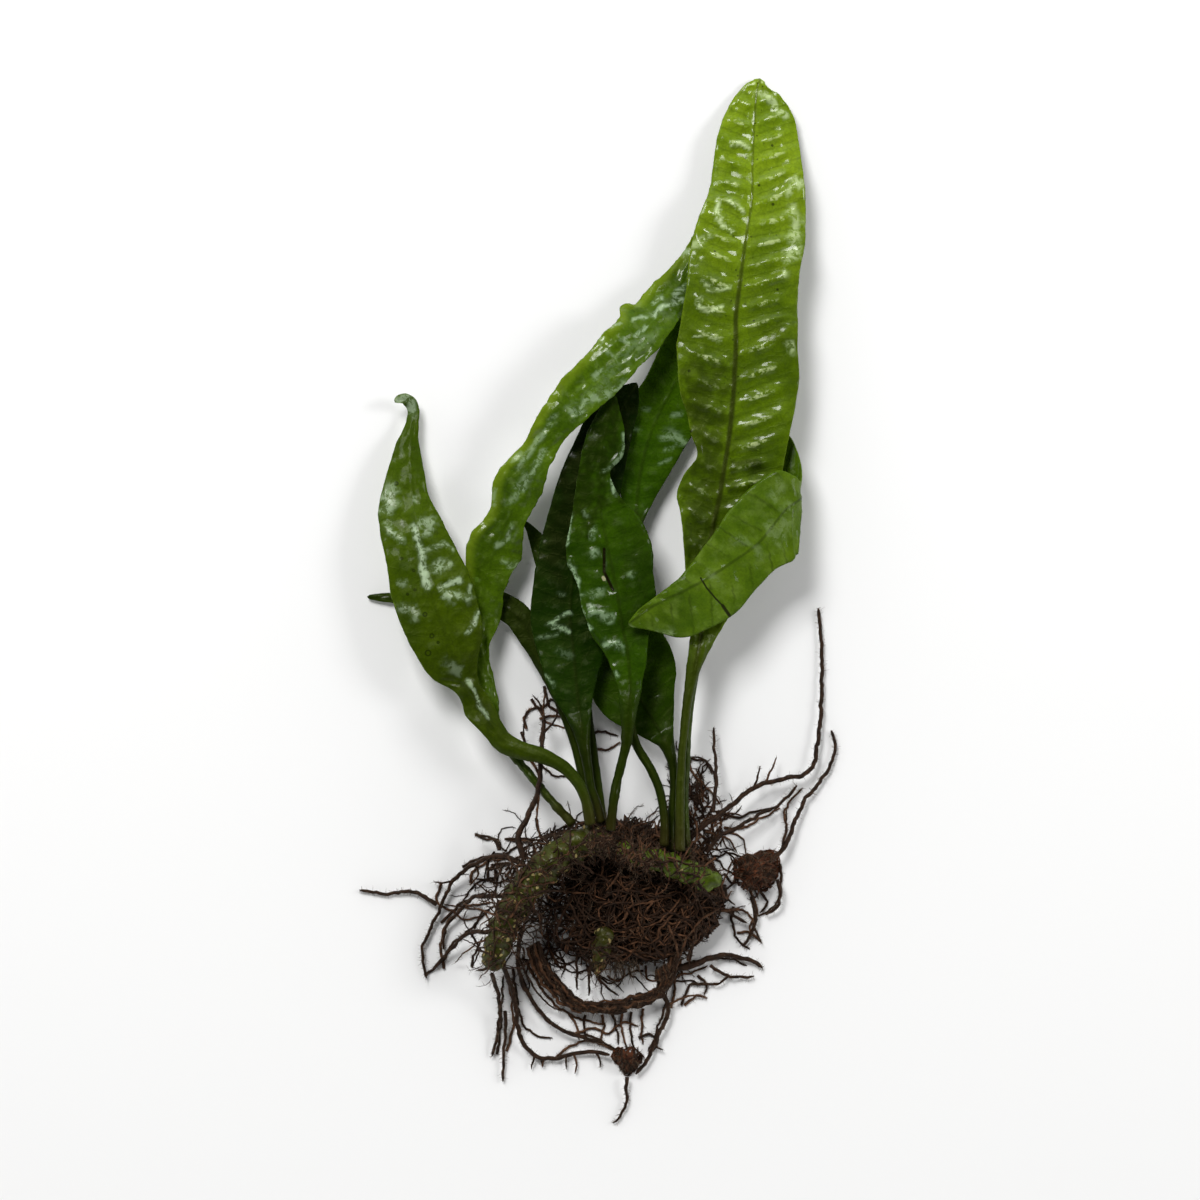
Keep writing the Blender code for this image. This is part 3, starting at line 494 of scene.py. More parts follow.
def frond_skin(
    name, base, tip, rib, underside, stalk, rib_share, rib_width=(0.5, 0.5), vein_dark=0.2, glint_paint=0.1,
    freckles=0.0, dots=(6.0, 0.10, 0.35, 0.7), rings=0.0, film=0.55, gleam=0.2, blend=(0.35, 0.9),
    painted_sheen=(150, 176, 138), pale_margin=0.0, scars=(), ring_spots=(),
):
    """Wet frond skin, with painted highlights: pale glints painted on the crests of the quilting, and a
    pale sheen painted in as a reflection where water stands. base, tip and underside are (deep,
    bright) pairs of green; blend says where the base's pair gives way to the tip's. dots are (spacing,
    size, share of cells, strength), a scar is (points, half-width, colour) and a ring spot (x, y,
    radius).
    """
    made, tree, shader = fresh_skin(name)
    base, tip, underside = ([paint(*green) for green in pair] for pair in (base, tip, underside))
    rib = paint(*rib)
    across, onward, margin = apart(tree, attribute(tree, "blade_place")["Vector"])[:3]
    turn, crest, flat = apart(tree, attribute(tree, "blade_quilt")["Vector"])[:3]
    onwards = attribute(tree, "tip_share")["Fac"]
    share = ranged(tree, onwards, *blend)
    under = attribute(tree, "underside")["Fac"]
    upper = maths(tree, "SUBTRACT", 1.0, under)

    # On most fronds the base's greens are the darker pair: partly their own colour, partly painted shade
    # where the fronds lie over one another near the stem.
    low = placed(tree, LEAF_FLESH, Deep=base[0], Bright=base[1])["Color"]
    high = placed(tree, LEAF_FLESH, Deep=tip[0], Bright=tip[1])["Color"]
    colour = mixed(tree, share, low, high)
    width = ranged(tree, share, 0.0, 1.0, *rib_width)
    veins = placed(tree, LEAF_VEINS, Across=across, Along=onward, Turn=turn, Width=width)
    shade = attribute(tree, "shade")["Fac"]
    lit = maths(tree, "SUBTRACT", 1.0, maths(tree, "MAXIMUM", shade, attribute(tree, "dull")["Fac"]))
    colour = mixed(tree, times(tree, veins["Net"], 0.2), colour, base[0])
    colour = mixed(tree, ranged(tree, margin, 0.1, 0.5, 0.2, 0.0), colour, tip[1])
    if pale_margin:
        on_left = maths(tree, "GREATER_THAN", across, 0.0)
        thinned = ranged(tree, margin, 0.5, 3.0, pale_margin, 0.0)
        colour = mixed(tree, times(tree, on_left, thinned), colour, PALE_MARGIN)
    colour = mixed(tree, times(tree, veins["Side veins"], vein_dark), colour, base[0])
    film_and_glints = placed(tree, WET_FILM_AND_GLINTS, Crest=crest, Cover=film)
    # Painted highlight: pale glints painted into the colour along the crests.
    painted_glint = times(tree, film_and_glints["Streaks"], glint_paint, upper, lit, flat)
    colour = mixed(tree, painted_glint, colour, PAINTED_GLINT_TONE)
    spotted = placed(tree, SPOTS, Spacing=dots[0], Size=dots[1], Share=dots[2])
    marks = times(tree, spotted["Dots"], dots[3])
    if rings:
        marks = maths(tree, "MAXIMUM", marks, times(tree, spotted["Rings"], rings))
    if freckles:
        peppered = placed(tree, SPOTS, Spacing=1.5, Size=0.17, Share=0.6)["Dots"]
        near_rib = ranged(tree, maths(tree, "ABSOLUTE", across), 0.8, 4.0, freckles, 0.0)
        marks = maths(tree, "MAXIMUM", marks, times(tree, peppered, near_rib))
    for x, y, radius in ring_spots:
        marks = maths(tree, "MAXIMUM", marks, ring_mask(tree, (x, y), radius))
    colour = mixed(tree, times(tree, marks, upper), colour, SPOT_TONE)
    below = placed(tree, LEAF_FLESH, Deep=underside[0], Bright=underside[1])["Color"]
    bloom = ranged(tree, noise(tree, 3.2, detail=4, roughness=0.6), 0.45, 0.75, 0.0, 0.25)
    below = mixed(tree, bloom, below, BLOOM_TONE)
    uneven = ranged(tree, noise(tree, 6.0, detail=2), 0.38, 0.62, 0.14, 0.5)
    below = mixed(tree, times(tree, veins["Side veins"], uneven), below, rib)
    colour = mixed(tree, under, colour, below)
    colour = mixed(tree, times(tree, shade, 0.8), colour, SHADE_TONE)
    torn = ranged(tree, noise(tree, 1.7, detail=5, roughness=0.72, distortion=0.5), 0.43, 0.53, 0.14, 1.0)
    wet_sheen = times(tree, attribute(tree, "wet_sheen")["Fac"], torn)
    line = times(tree, veins["Midrib"], ranged(tree, share, 0.0, 1.0, rib_share, 0.5 * rib_share))
    colour = mixed(tree, line, colour, rib)
    # Painted reflection: a pale sheen painted into the colour in the wet patches.
    colour = mixed(tree, times(tree, wet_sheen, 0.85), colour, paint(*painted_sheen))
    stalk_skin = placed(tree, LEAF_FLESH, Deep=rib, Bright=paint(*stalk))["Color"]
    stalk_skin = mixed(tree, ranged(tree, onwards, 0.0, 0.09, 0.75, 0.0), stalk_skin, STALK_FOOT)
    colour = mixed(tree, flat, stalk_skin, colour)
    for corners, half_width, tone in scars:
        for start, end in zip(corners, corners[1:]):
            colour = mixed(tree, scar_mask(tree, start, end, half_width), colour, paint(*tone))
    feed(tree, shader["Base Color"], colour)

    grain = noise(tree, 0.45, detail=3, roughness=0.6)
    rough = ranged(tree, grain, 0.3, 0.7, 0.4, 0.56)
    rim = ranged(tree, maths(tree, "DIVIDE", margin, maths(tree, "MAXIMUM", flat, 0.05)), 0.15, 0.6)
    matt = maths(tree, "MAXIMUM", under, maths(tree, "SUBTRACT", 1.0, rim))
    feed(tree, shader["Roughness"], mixed_value(tree, matt, rough, 0.7))
    covered = times(tree, film_and_glints["Film"], ranged(tree, under, 0.0, 1.0, 1.0, 0.2))
    covered = times(tree, covered, ranged(tree, flat, 0.3, 1.0, 0.15, 1.0))
    covered = times(tree, maths(tree, "MAXIMUM", covered, wet_sheen), lit)
    feed(tree, shader["Coat Weight"], times(tree, covered, rim))
    shader["Coat Roughness"].default_value = 0.12
    shader["Coat IOR"].default_value = 1.34
    shader["Specular IOR Level"].default_value = gleam
    shader["Specular Tint"].default_value = (0.75, 0.85, 0.25, 1.0)
    fine = bumped(tree, grain, 0.05, 0.6)
    net = bumped(tree, veins["Net"], 0.05, 0.5, fine)
    feed(tree, shader["Normal"], bumped(tree, veins["Side veins"], 0.08, 0.5, net))
    return made


def mixed_value(tree, share, first, second):
    made = tree.nodes.new("ShaderNodeMix")
    for socket, value in zip((made.inputs[0], made.inputs[2], made.inputs[3]), (share, first, second)):
        feed(tree, socket, value)
    return made.outputs[0]


def ring_mask(tree, middle, radius):
    """A thin dark ring with a dark dot in it, seen from above."""
    away = hypotenuse(tree, *from_above(tree, middle))
    off_ring = maths(tree, "ABSOLUTE", maths(tree, "SUBTRACT", away, radius))
    ring = ranged(tree, off_ring, 0.07, 0.24, 0.9, 0.0)
    return maths(tree, "MAXIMUM", ring, ranged(tree, away, 0.06, 0.16, 0.4, 0.0))


def scar_mask(tree, start, end, half_width):
    """1 within half_width millimetres of the stretch from start to end, seen from above."""
    dx, dy = from_above(tree, start)
    run = (end[0] - start[0], end[1] - start[1])
    squared = run[0] ** 2 + run[1] ** 2
    share = maths(tree, "ADD", times(tree, dx, run[0] / squared), times(tree, dy, run[1] / squared))
    share = maths(tree, "MINIMUM", maths(tree, "MAXIMUM", share, 0.0), 1.0)
    ax = maths(tree, "MULTIPLY_ADD", share, -run[0], dx)
    ay = maths(tree, "MULTIPLY_ADD", share, -run[1], dy)
    away = hypotenuse(tree, ax, ay)
    return ranged(tree, away, half_width * 0.5, half_width, 1.0, 0.0)


def dress(piece, nodes, skins):
    """Gives the piece its materials, hangs it on the root body and hides the solids it stands for."""
    piece.data.materials.clear()
    for skin in skins:
        piece.data.materials.append(skin)
    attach(piece, "root")
    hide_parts(*nodes)
    return piece


TALL_LEFT_CRESTS = (
    -6.0, 0.0, 6.0, 12.0, 18.0, 23.5, 29.5, 36.0, 42.5, 48.0, 53.7, 59.6, 65.5, 71.0, 77.0, 81.0,
    85.0, 89.5, 94.7, 99.5, 104.3, 109.0, 114.0, 119.0,
)
TALL_RIGHT_CRESTS = (
    -8.0, -2.0, 4.0, 10.0, 15.5, 21.0, 25.9, 30.0, 34.5, 39.6, 45.3, 50.5, 56.2, 61.7, 66.8, 71.7,
    76.3, 80.8, 86.1, 90.9, 95.6, 100.7, 105.1, 110.0, 115.0, 119.0,
)
TALL_CREASES = (
    (((28.4, 92.2), (26.6, 89.4), (26.4, 87.2), (28.6, 85.6), (31.3, 85.0)), 0.7, 0.4),
    (((29.6, 92.2), (33.2, 89.5)), 0.6, 0.4), (((30.5, 104.9), (32.4, 105.9), (34.7, 104.4)), 0.6, 0.35),
    (((22.6, 83.7), (24.1, 81.0), (25.4, 84.2)), 0.7, 0.35),
    (((22.9, 70.2), (23.3, 67.4), (28.0, 66.0)), 0.7, 0.35),
    (((43.6, 95.4), (45.9, 96.6), (46.8, 93.0)), 1.2, 0.5),
    (((44.2, 84.6), (46.4, 80.2), (44.0, 78.6), (42.4, 74.0)), 1.4, 0.5),
    (((29.1, 77.4), (30.2, 76.2), (30.2, 77.8)), 0.5, 0.3),
)
# Wet patches: a glossier coat there, and a pale sheen painted in as a painted reflection.
TALL_WET_SHEEN = (
    (((27.6, 92.5), (27.1, 89.4), (28.1, 86.8), (30.8, 84.9)), 0.5, 0.9),
    (((29.7, 92.3), (33.4, 89.6)), 0.45, 0.85),
    (((30.5, 105.2), (32.6, 105.7), (34.7, 104.4)), 0.45, 0.8),
    (((24.0, 73.6), (26.0, 71.5), (30.2, 72.0)), 0.45, 0.8),
    (((23.2, 69.4), (23.4, 67.3), (25.5, 66.5), (28.1, 67.8)), 0.5, 0.85),
    (((22.4, 61.0), (25.0, 61.5), (27.6, 59.7)), 0.35, 0.7), (((22.3, 82.0), (25.0, 83.6)), 0.95, 0.5),
    (((46.0, 96.8), (44.0, 94.7)), 1.1, 0.6),
    (((44.5, 90.4), (46.0, 87.3), (45.0, 83.1), (44.5, 78.9)), 1.3, 0.5),
    (((42.6, 74.7), (42.8, 75.4)), 0.7, 0.6), (((38.7, 117.3), (40.3, 114.7), (43.4, 112.0)), 0.7, 0.6),
    (((37.0, 117.6), (37.4, 117.0)), 0.8, 0.5), (((43.8, 59.0), (44.2, 58.2)), 1.0, 0.6),
)
TALL_SHADE = (
    (((24.4, 51.0), (24.0, 40.0), (25.5, 30.0), (23.0, 12.0)), 5.0, 0.68),
    (((22.2, 48.5), (22.2, 42.5)), 2.6, 0.8), (((39.5, 63.0), (43.0, 60.0)), 2.2, 0.3),
    (((22.6, -15.0), (24.8, -5.0)), 4.0, 0.45), (((20.3, 42.9), (24.7, 42.2), (28.6, 41.6)), 1.1, 0.65),
    (((23.4, 36.6), (28.6, 35.9)), 1.0, 0.75), (((31.2, 32.0), (37.4, 31.3), (35.6, 29.8)), 1.0, 0.75),
    (((23.8, 30.2), (26.9, 29.3)), 0.8, 0.6), (((20.3, 17.5), (24.3, 15.8)), 1.0, 0.7),
    (((19.9, 14.5), (25.1, 12.7)), 1.4, 0.55), (((20.5, 52.0), (26.0, 50.0)), 1.4, 0.35),
    (((18.7, -58.0), (19.5, -34.0)), 2.4, 0.6), (((19.5, -34.0), (21.5, -20.0)), 2.4, 0.35),
)
TALL_DULL = (
    (((34.5, 104.0), (33.6, 94.5)), 2.3, 0.85), (((27.5, 101.5), (27.3, 95.5)), 1.6, 0.85),
    (((33.4, 91.5), (32.6, 86.0)), 1.3, 0.8), (((18.6, 61.0), (18.6, 54.0)), 1.4, 0.8),
    (((18.5, 26.5), (19.2, 17.0)), 1.8, 0.8), (((32.6, 38.8), (39.5, 40.5)), 1.2, 0.5),
)
tall = frond_blade(
    "tall_frond_blade",
    [
        (18.7, -56.8, 14.4, 1.15, 1.15), (18.7, -45.0, 13.9, 1.1, 1.1), (19.9, -26.7, 12.7, 1.0, 1.0),
        (22.0, -15.5, 12.0, 1.9, 1.3), (23.3, -8.5, 11.6, 2.4, 3.2), (24.2, -2.0, 11.3, 3.6, 6.0),
        (25.2, 7.5, 11.0, 5.3, 9.5), (26.3, 17.6, 10.8, 7.4, 12.0), (27.4, 22.4, 10.8, 9.6, 13.0),
        (28.3, 27.5, 10.8, 9.0, 13.4), (29.2, 33.0, 10.9, 6.6, 13.4), (29.9, 37.5, 11.0, 8.8, 13.6),
        (30.4, 42.0, 11.0, 10.1, 14.0), (30.9, 47.3, 11.0, 12.2, 14.6), (31.2, 53.0, 11.0, 13.0, 15.0),
        (31.5, 59.0, 11.0, 13.6, 14.2), (31.5, 65.8, 10.8, 12.3, 14.4), (32.2, 71.3, 10.6, 12.0, 13.7),
        (32.9, 76.8, 10.2, 12.3, 13.4), (34.1, 85.3, 9.0, 11.6, 13.7), (35.2, 91.9, 7.6, 10.3, 12.6),
        (35.4, 99.4, 5.8, 9.1, 11.7), (35.7, 107.1, 4.1, 8.2, 10.5), (36.1, 113.5, 2.7, 6.2, 8.5),
        (36.4, 116.6, 2.1, 4.6, 6.1), (36.7, 118.7, 1.6, 3.0, 3.8), (37.1, 119.9, 1.3, 1.4, 1.5),
        (37.3, 120.6, 1.1, 0.9, 0.8), (37.3, 120.8, 1.1, 0.3, 0.3),
    ],
    rings=360, columns=64, ridge=0.42, ruffle=0.55, wave=19.0, arch=-0.03, slants=(0.30, 0.42), sharp=2.2,
    crests=(TALL_LEFT_CRESTS, TALL_RIGHT_CRESTS), seed=1.3, lumps=((2.6, 0.3), (0.9, 0.12)),
    creases=TALL_CREASES, wet_sheen=TALL_WET_SHEEN, shade=TALL_SHADE, dull=TALL_DULL,
)
TALL_SKIN = frond_skin(
    "tall_frond_skin", base=((44, 64, 0), (78, 102, 0)), tip=((82, 108, 4), (116, 140, 18)),
    rib=(30, 38, 0), underside=((74, 98, 20), (100, 122, 40)), rib_share=0.9, rib_width=(0.7, 0.34),
    vein_dark=0.3, glint_paint=0.42, freckles=0.8, dots=(5.0, 0.09, 0.4, 0.8), film=0.45, blend=(0.58, 0.93),
    painted_sheen=(204, 222, 168), stalk=(38, 50, 0),
)
dress(tall, ["tall_frond"], [TALL_SKIN])

# The folded frond comes up behind the tall one and is turned over its right margin, so that its
# paler, matt underside faces up, with the midrib standing proud on it. A crack runs in from its
# lower margin, and the tip points down to the left.

CRACK = ((23.4, 5.7), (24.7, 3.5), (26.9, 0.9), (28.6, -0.8), (29.9, -2.8))
CRACK_NOTCH = ((28.4, -0.6), (29.9, -2.8))
folded = frond_blade(
    "folded_frond_blade",
    [
        (20.3, -58.1, 11.6, 1.1, 1.1, 180), (19.7, -45.7, 10.7, 1.0, 1.0, 180),
        (20.1, -35.9, 9.9, 1.0, 1.0, 180), (20.6, -26.7, 9.1, 1.0, 1.0, 178),
        (21.9, -17.6, 8.4, 1.0, 1.0, 172), (23.3, -10.7, 7.9, 1.1, 1.1, 168),
        (24.7, -3.9, 7.4, 1.3, 1.3, 167), (26.1, 3.0, 6.9, 2.6, 2.6, 165),
        (27.9, 9.8, 6.6, 5.4, 5.4, 160), (30.4, 16.7, 6.4, 8.6, 8.4, 150),
        (34.1, 21.9, 6.3, 10.6, 10.2, 132), (38.9, 24.7, 6.3, 11.8, 11.2, 108),
        (43.0, 25.3, 6.5, 14.2, 12.0, 95), (44.9, 25.0, 7.4, 12.6, 12.5, 92),
        (46.0, 24.6, 8.9, 8.8, 12.8, 90), (46.2, 24.1, 10.9, 4.0, 12.7, 89),
        (45.4, 23.3, 12.6, 5.4, 12.2, 93), (43.2, 21.7, 13.6, 8.8, 11.0, 101),
        (40.7, 18.7, 13.7, 10.0, 9.8, 113), (36.6, 13.7, 13.7, 10.3, 7.2, 125),
        (31.3, 9.8, 13.9, 8.0, 8.2, 125), (25.8, 6.2, 14.3, 5.7, 10.2, 123),
        (19.9, 2.9, 15.0, 3.1, 10.2, 120), (14.2, 0.2, 15.6, 1.7, 9.4, 120),
        (9.6, -2.7, 15.9, 1.1, 4.2, 122), (6.9, -5.0, 16.0, 0.4, 0.4, 124),
    ],
    rings=320, ridge=0.3, pitch=5.2, ruffle=0.3, wave=23.0, arch=0.02, seed=2.2,
    creases=((CRACK, 0.35, -0.3),), keel=0.14, slants=(0.45, 0.45),
    shade=((((10.0, -3.5), (19.0, -1.5)), 4.5, 0.22), (((38.0, 30.0), (43.0, 26.5)), 2.0, 0.2)),
    # Wet patches: a glossier coat there, and a pale sheen painted in as a painted reflection.
    wet_sheen=(
        (((14.5, -7.4), (16.6, -7.9), (17.0, -6.4)), 0.9, 0.7),
        (((7.2, -5.3), (10.2, -6.8), (13.8, -8.4), (17.0, -8.6)), 0.5, 0.4),
        (((41.5, 27.5), (40.5, 24.0)), 1.2, 0.32), (((43.8, 21.5), (42.0, 16.5)), 1.5, 0.36),
        (((38.9, 17.5), (40.8, 13.8)), 1.2, 0.36), (((36.0, 12.8), (37.0, 10.5)), 0.9, 0.32),
        (((31.0, 14.0), (34.0, 14.3)), 0.8, 0.28), (((25.0, 7.2), (27.5, 5.0)), 0.8, 0.32),
    ),
)
FOLDED_SKIN = frond_skin(
    "folded_frond_skin", base=((46, 74, 0), (70, 98, 2)), tip=((50, 78, 0), (74, 100, 8)),
    rib=(22, 38, 0), rib_share=1.0, underside=((44, 70, 0), (74, 98, 8)), vein_dark=0.3,
    painted_sheen=(132, 150, 104), stalk=(40, 60, 2), rib_width=(0.45, 0.4),
    scars=((CRACK, 0.26, (14, 22, 2)), (CRACK_NOTCH, 0.5, (12, 16, 2))),
)
dress(folded, ["folded_frond"], [FOLDED_SKIN])

# The curled frond leaves the stem to the left on a thick stalk with a crimped wing, swells into a
# bright blade with small ring spots, and curls over into a hook at its tip.

CURLED_CREASES = (
    (((-41.6, 20.4), (-39.8, 14.0), (-38.4, 8.0), (-37.9, 3.4)), 1.5, 0.8),
    (((-41.0, 15.5), (-36.5, 12.9)), 0.9, 0.5), (((-36.6, 4.6), (-34.5, 5.8), (-32.5, 5.2)), 0.7, 0.5),
    (((-36.8, 3.6), (-33.9, 1.4), (-29.7, 0.6)), 1.1, 0.6),
    (((-31.4, -1.8), (-29.6, -4.8), (-30.6, -7.2)), 0.9, 0.5), (((-48.8, 25.0), (-47.4, 21.8)), 1.6, 0.5),
    (((-48.6, 17.0), (-45.2, 14.6)), 1.0, 0.5), (((-45.0, -1.2), (-41.6, -3.2)), 1.4, 0.5),
    (((-35.4, -17.8), (-31.4, -18.6)), 0.5, -0.5),
    (((-30.2, -18.2), (-26.8, -23.0), (-23.8, -28.2)), 0.5, 0.4),
)
# Wet patches: a glossier coat there, and a pale sheen painted in as a painted reflection.
CURLED_WET_SHEEN = (
    (((-48.1, 25.3), (-47.6, 23.2), (-48.4, 21.1)), 1.7, 0.62),
    (((-48.4, 17.7), (-47.1, 15.8), (-45.0, 14.5)), 0.85, 0.7),
    (((-42.1, 17.4), (-41.0, 14.8), (-40.2, 12.1), (-40.0, 9.0), (-38.9, 3.7)), 0.75, 0.95),
    (((-40.5, 19.0), (-38.1, 18.4), (-38.7, 16.3)), 1.3, 0.55),
    (((-38.7, 12.1), (-35.5, 13.5), (-33.4, 12.1)), 0.55, 0.5), (((-37.6, 7.9), (-34.5, 8.5)), 1.2, 0.6),
    (((-36.0, 3.2), (-33.4, 4.8), (-31.8, 5.3)), 0.65, 0.85),
    (((-34.5, 1.1), (-31.3, 1.6), (-29.7, 1.1)), 1.05, 0.6), (((-29.2, 3.7), (-29.3, 1.6)), 0.45, 0.6),
    (((-27.4, -2.0), (-28.2, -4.7), (-29.7, -6.7)), 0.5, 0.75),
    (((-45.5, -1.0), (-42.3, -1.5), (-41.6, -3.3)), 1.0, 0.35), (((-45.0, 4.8), (-44.6, 4.4)), 0.8, 0.35),
    (((-42.0, 24.1), (-41.6, 23.6)), 0.6, 0.4),
    (((-29.7, -17.8), (-28.2, -20.4), (-27.1, -23.5), (-25.0, -26.2)), 0.45, 0.6),
    (((-34.5, -13.5), (-31.8, -15.1)), 1.1, 0.2),
    (((-42.4, 43.6), (-43.0, 46.2), (-44.8, 47.0), (-46.4, 46.2)), 1.3, 0.55),
)
CURLED_SHADE = (
    (((-33.4, -14.6), (-27.9, -12.5), (-27.0, -17.8)), 2.6, 0.5),
    (((-29.0, -20.0), (-25.5, -25.0), (-21.5, -30.0)), 2.0, 0.45),
    (((-26.5, -7.0), (-25.6, -12.0)), 1.6, 0.4),
    (((-14.0, -34.8), (-7.5, -37.5), (-3.0, -44.0)), 2.4, 0.55),
    (((-43.0, 40.0), (-42.5, 30.0)), 4.5, 0.2),
)
curled = frond_blade(
    "curled_tip_frond_blade",
    [
        (-1.7, -50.7, 16.3, 1.25, 1.25), (-3.2, -43.4, 16.2, 1.25, 1.25), (-6.9, -38.2, 15.4, 1.4, 1.4),
        (-11.7, -35.2, 14.6, 1.7, 1.7), (-16.7, -33.8, 13.4, 2.1, 2.1), (-21.0, -31.8, 12.4, 2.6, 2.2),
        (-24.2, -27.9, 11.6, 2.9, 2.3), (-26.7, -23.5, 11.2, 4.2, 2.6), (-29.7, -19.4, 11.0, 2.9, 2.9),
        (-32.0, -14.9, 11.2, 6.2, 5.0), (-34.0, -9.5, 11.4, 8.0, 8.2), (-36.3, -3.0, 11.4, 8.9, 9.4),
        (-38.6, 3.6, 11.0, 9.0, 9.6), (-40.4, 10.5, 10.0, 8.1, 8.4), (-41.5, 17.5, 8.8, 8.5, 6.3),
        (-42.3, 24.0, 7.4, 8.0, 3.7), (-42.9, 30.5, 5.9, 5.3, 3.0), (-43.0, 36.5, 4.5, 3.4, 2.0),
        (-42.6, 41.5, 3.4, 1.5, 1.4), (-42.2, 44.4, 3.0, 1.6, 1.2), (-43.0, 46.3, 3.6, 1.7, 1.2),
        (-44.7, 47.1, 4.6, 1.5, 1.1), (-46.2, 46.5, 5.2, 0.9, 0.8), (-46.7, 45.9, 5.4, 0.3, 0.3),
    ],
    rings=280, ridge=0.1, pitch=6.4, ruffle=0.5, wave=21.0, arch=-0.09, sharp=1.5, wrinkle=0.08, seed=3.1,
    lumps=((4.5, 0.5), (1.5, 0.16), (0.7, 0.06)), creases=CURLED_CREASES, wet_sheen=CURLED_WET_SHEEN,
    shade=CURLED_SHADE,
)
CURLED_RINGS = (
    (-46.2, 27.4, 0.34), (-42.1, 7.4, 0.24), (-44.8, 10.2, 0.22), (-41.8, 3.0, 0.24),
    (-39.5, -2.6, 0.42), (-37.9, -7.5, 0.45), (-38.8, -11.4, 0.6), (-36.5, -9.0, 0.22), (-43.5, 2.0, 0.2),
)
CURLED_SKIN = frond_skin(
    "curled_tip_frond_skin", base=((30, 44, 0), (54, 70, 0)), tip=((38, 60, 0), (60, 82, 0)),
    rib=(28, 42, 0), underside=((58, 86, 12), (88, 108, 30)), rib_share=0.25, vein_dark=0.1, glint_paint=0.02,
    dots=(5.5, 0.06, 0.3, 0.3), rings=0.3, film=0.16, gleam=0.14, painted_sheen=(172, 192, 158),
    stalk=(38, 50, 0), ring_spots=CURLED_RINGS,
)
dress(curled, ["curled_tip_frond"], [CURLED_SKIN])

# The long wavy frond rises from the left and crosses to the right until the tall frond hides it.
# Its margins are scalloped, and it is bubbled all over, which breaks its shine into small glints.

# Wet patches: a glossier coat there, and a pale sheen painted in as a painted reflection.
LONG_WET_SHEEN = (
    (((5.9, 49.9), (2.3, 47.8), (-1.9, 46.3), (-5.6, 43.1)), 0.95, 0.5),
    (((-9.8, 42.6), (-13.5, 37.3), (-15.6, 34.7), (-18.2, 31.0)), 0.7, 0.4),
    (((-12.4, 34.7), (-14.0, 31.6), (-15.6, 28.9), (-17.7, 25.8)), 0.7, 0.5),
    (((-17.7, 33.7), (-19.8, 32.6)), 0.6, 0.35),
    (((-16.6, 28.9), (-18.2, 26.3), (-19.8, 23.2)), 0.9, 0.3),
    (((-23.4, 25.8), (-23.7, 22.6)), 0.5, 0.35),
    (((-19.8, 17.4), (-20.8, 14.2), (-22.9, 13.2)), 0.6, 0.45),
    (((-21.9, 9.5), (-20.3, 8.5), (-18.2, 9.5)), 0.6, 0.4), (((-29.7, 14.2), (-30.8, 13.2)), 0.5, 0.3),
    (((20.0, 80.8), (20.6, 80.0)), 1.05, 0.6), (((20.0, 72.6), (18.2, 71.5), (17.6, 69.4)), 0.7, 0.8),
    (((12.4, 65.7), (14.5, 67.8), (17.6, 68.3), (19.2, 69.4)), 0.6, 0.85),
    (((14.5, 69.9), (12.9, 68.9)), 0.45, 0.7), (((8.2, 64.7), (10.8, 65.2)), 0.5, 0.7),
    (((8.7, 61.0), (10.8, 63.1)), 0.45, 0.7), (((3.4, 63.1), (5.0, 63.6)), 0.45, 0.6),
    (((0.3, 58.9), (1.0, 60.2)), 0.45, 0.6), (((5.5, 60.2), (7.1, 59.1)), 0.6, 0.5),
    (((2.1, 57.3), (3.9, 55.7)), 0.4, 0.4), (((-0.8, 51.5), (0.3, 53.1)), 0.6, 0.5),
    (((12.4, 61.0), (8.7, 58.3), (5.0, 55.2), (1.3, 50.4), (-2.9, 46.2), (-5.5, 43.1)), 1.5, 0.14),
)
long_wavy = frond_blade(
    "long_wavy_frond_blade",
    [
        (-5.5, -50.8, 12.5, 1.05, 1.05), (-10.3, -45.4, 11.2, 1.0, 1.0), (-13.9, -41.2, 10.0, 1.0, 1.0),
        (-17.4, -37.0, 9.0, 1.0, 1.0), (-21.3, -32.5, 8.2, 1.2, 1.4), (-24.7, -27.2, 7.6, 1.6, 2.6),
        (-26.1, -22.2, 7.2, 2.4, 3.2), (-27.2, -16.7, 7.0, 3.0, 3.2), (-27.7, -11.0, 6.8, 3.6, 2.8),
        (-27.2, -3.0, 6.8, 4.6, 4.9), (-25.5, 5.5, 7.2, 5.2, 4.7), (-23.5, 12.5, 8.0, 6.5, 6.4),
        (-20.6, 19.0, 9.4, 4.7, 4.1), (-17.4, 27.2, 11.0, 6.2, 5.0), (-13.7, 33.8, 12.2, 4.2, 3.5),
        (-10.0, 39.3, 13.2, 5.0, 3.3), (-3.7, 46.0, 14.4, 6.7, 3.8), (1.2, 51.5, 15.1, 6.4, 4.8),
        (6.5, 56.5, 15.0, 7.2, 4.1), (11.0, 61.5, 13.2, 7.2, 4.3), (12.5, 63.9, 12.0, 8.2, 4.4),
        (13.5, 65.4, 11.0, 6.1, 4.5), (14.8, 67.5, 9.4, 5.6, 4.7), (19.5, 74.0, 6.4, 4.2, 4.8),
        (24.0, 82.0, 4.7, 3.0, 4.4), (28.5, 89.5, 3.3, 3.6, 3.6), (33.0, 95.5, 2.4, 2.4, 2.4),
        (37.0, 99.5, 1.8, 0.4, 0.4),
    ],
    rings=330, ridge=0.06, pitch=4.6, ruffle=0.7, wave=15.0, arch=-0.06, wrinkle=0.17, seed=4.4,
    lumps=((2.6, 0.8), (1.1, 0.3)), wet_sheen=LONG_WET_SHEEN,
)
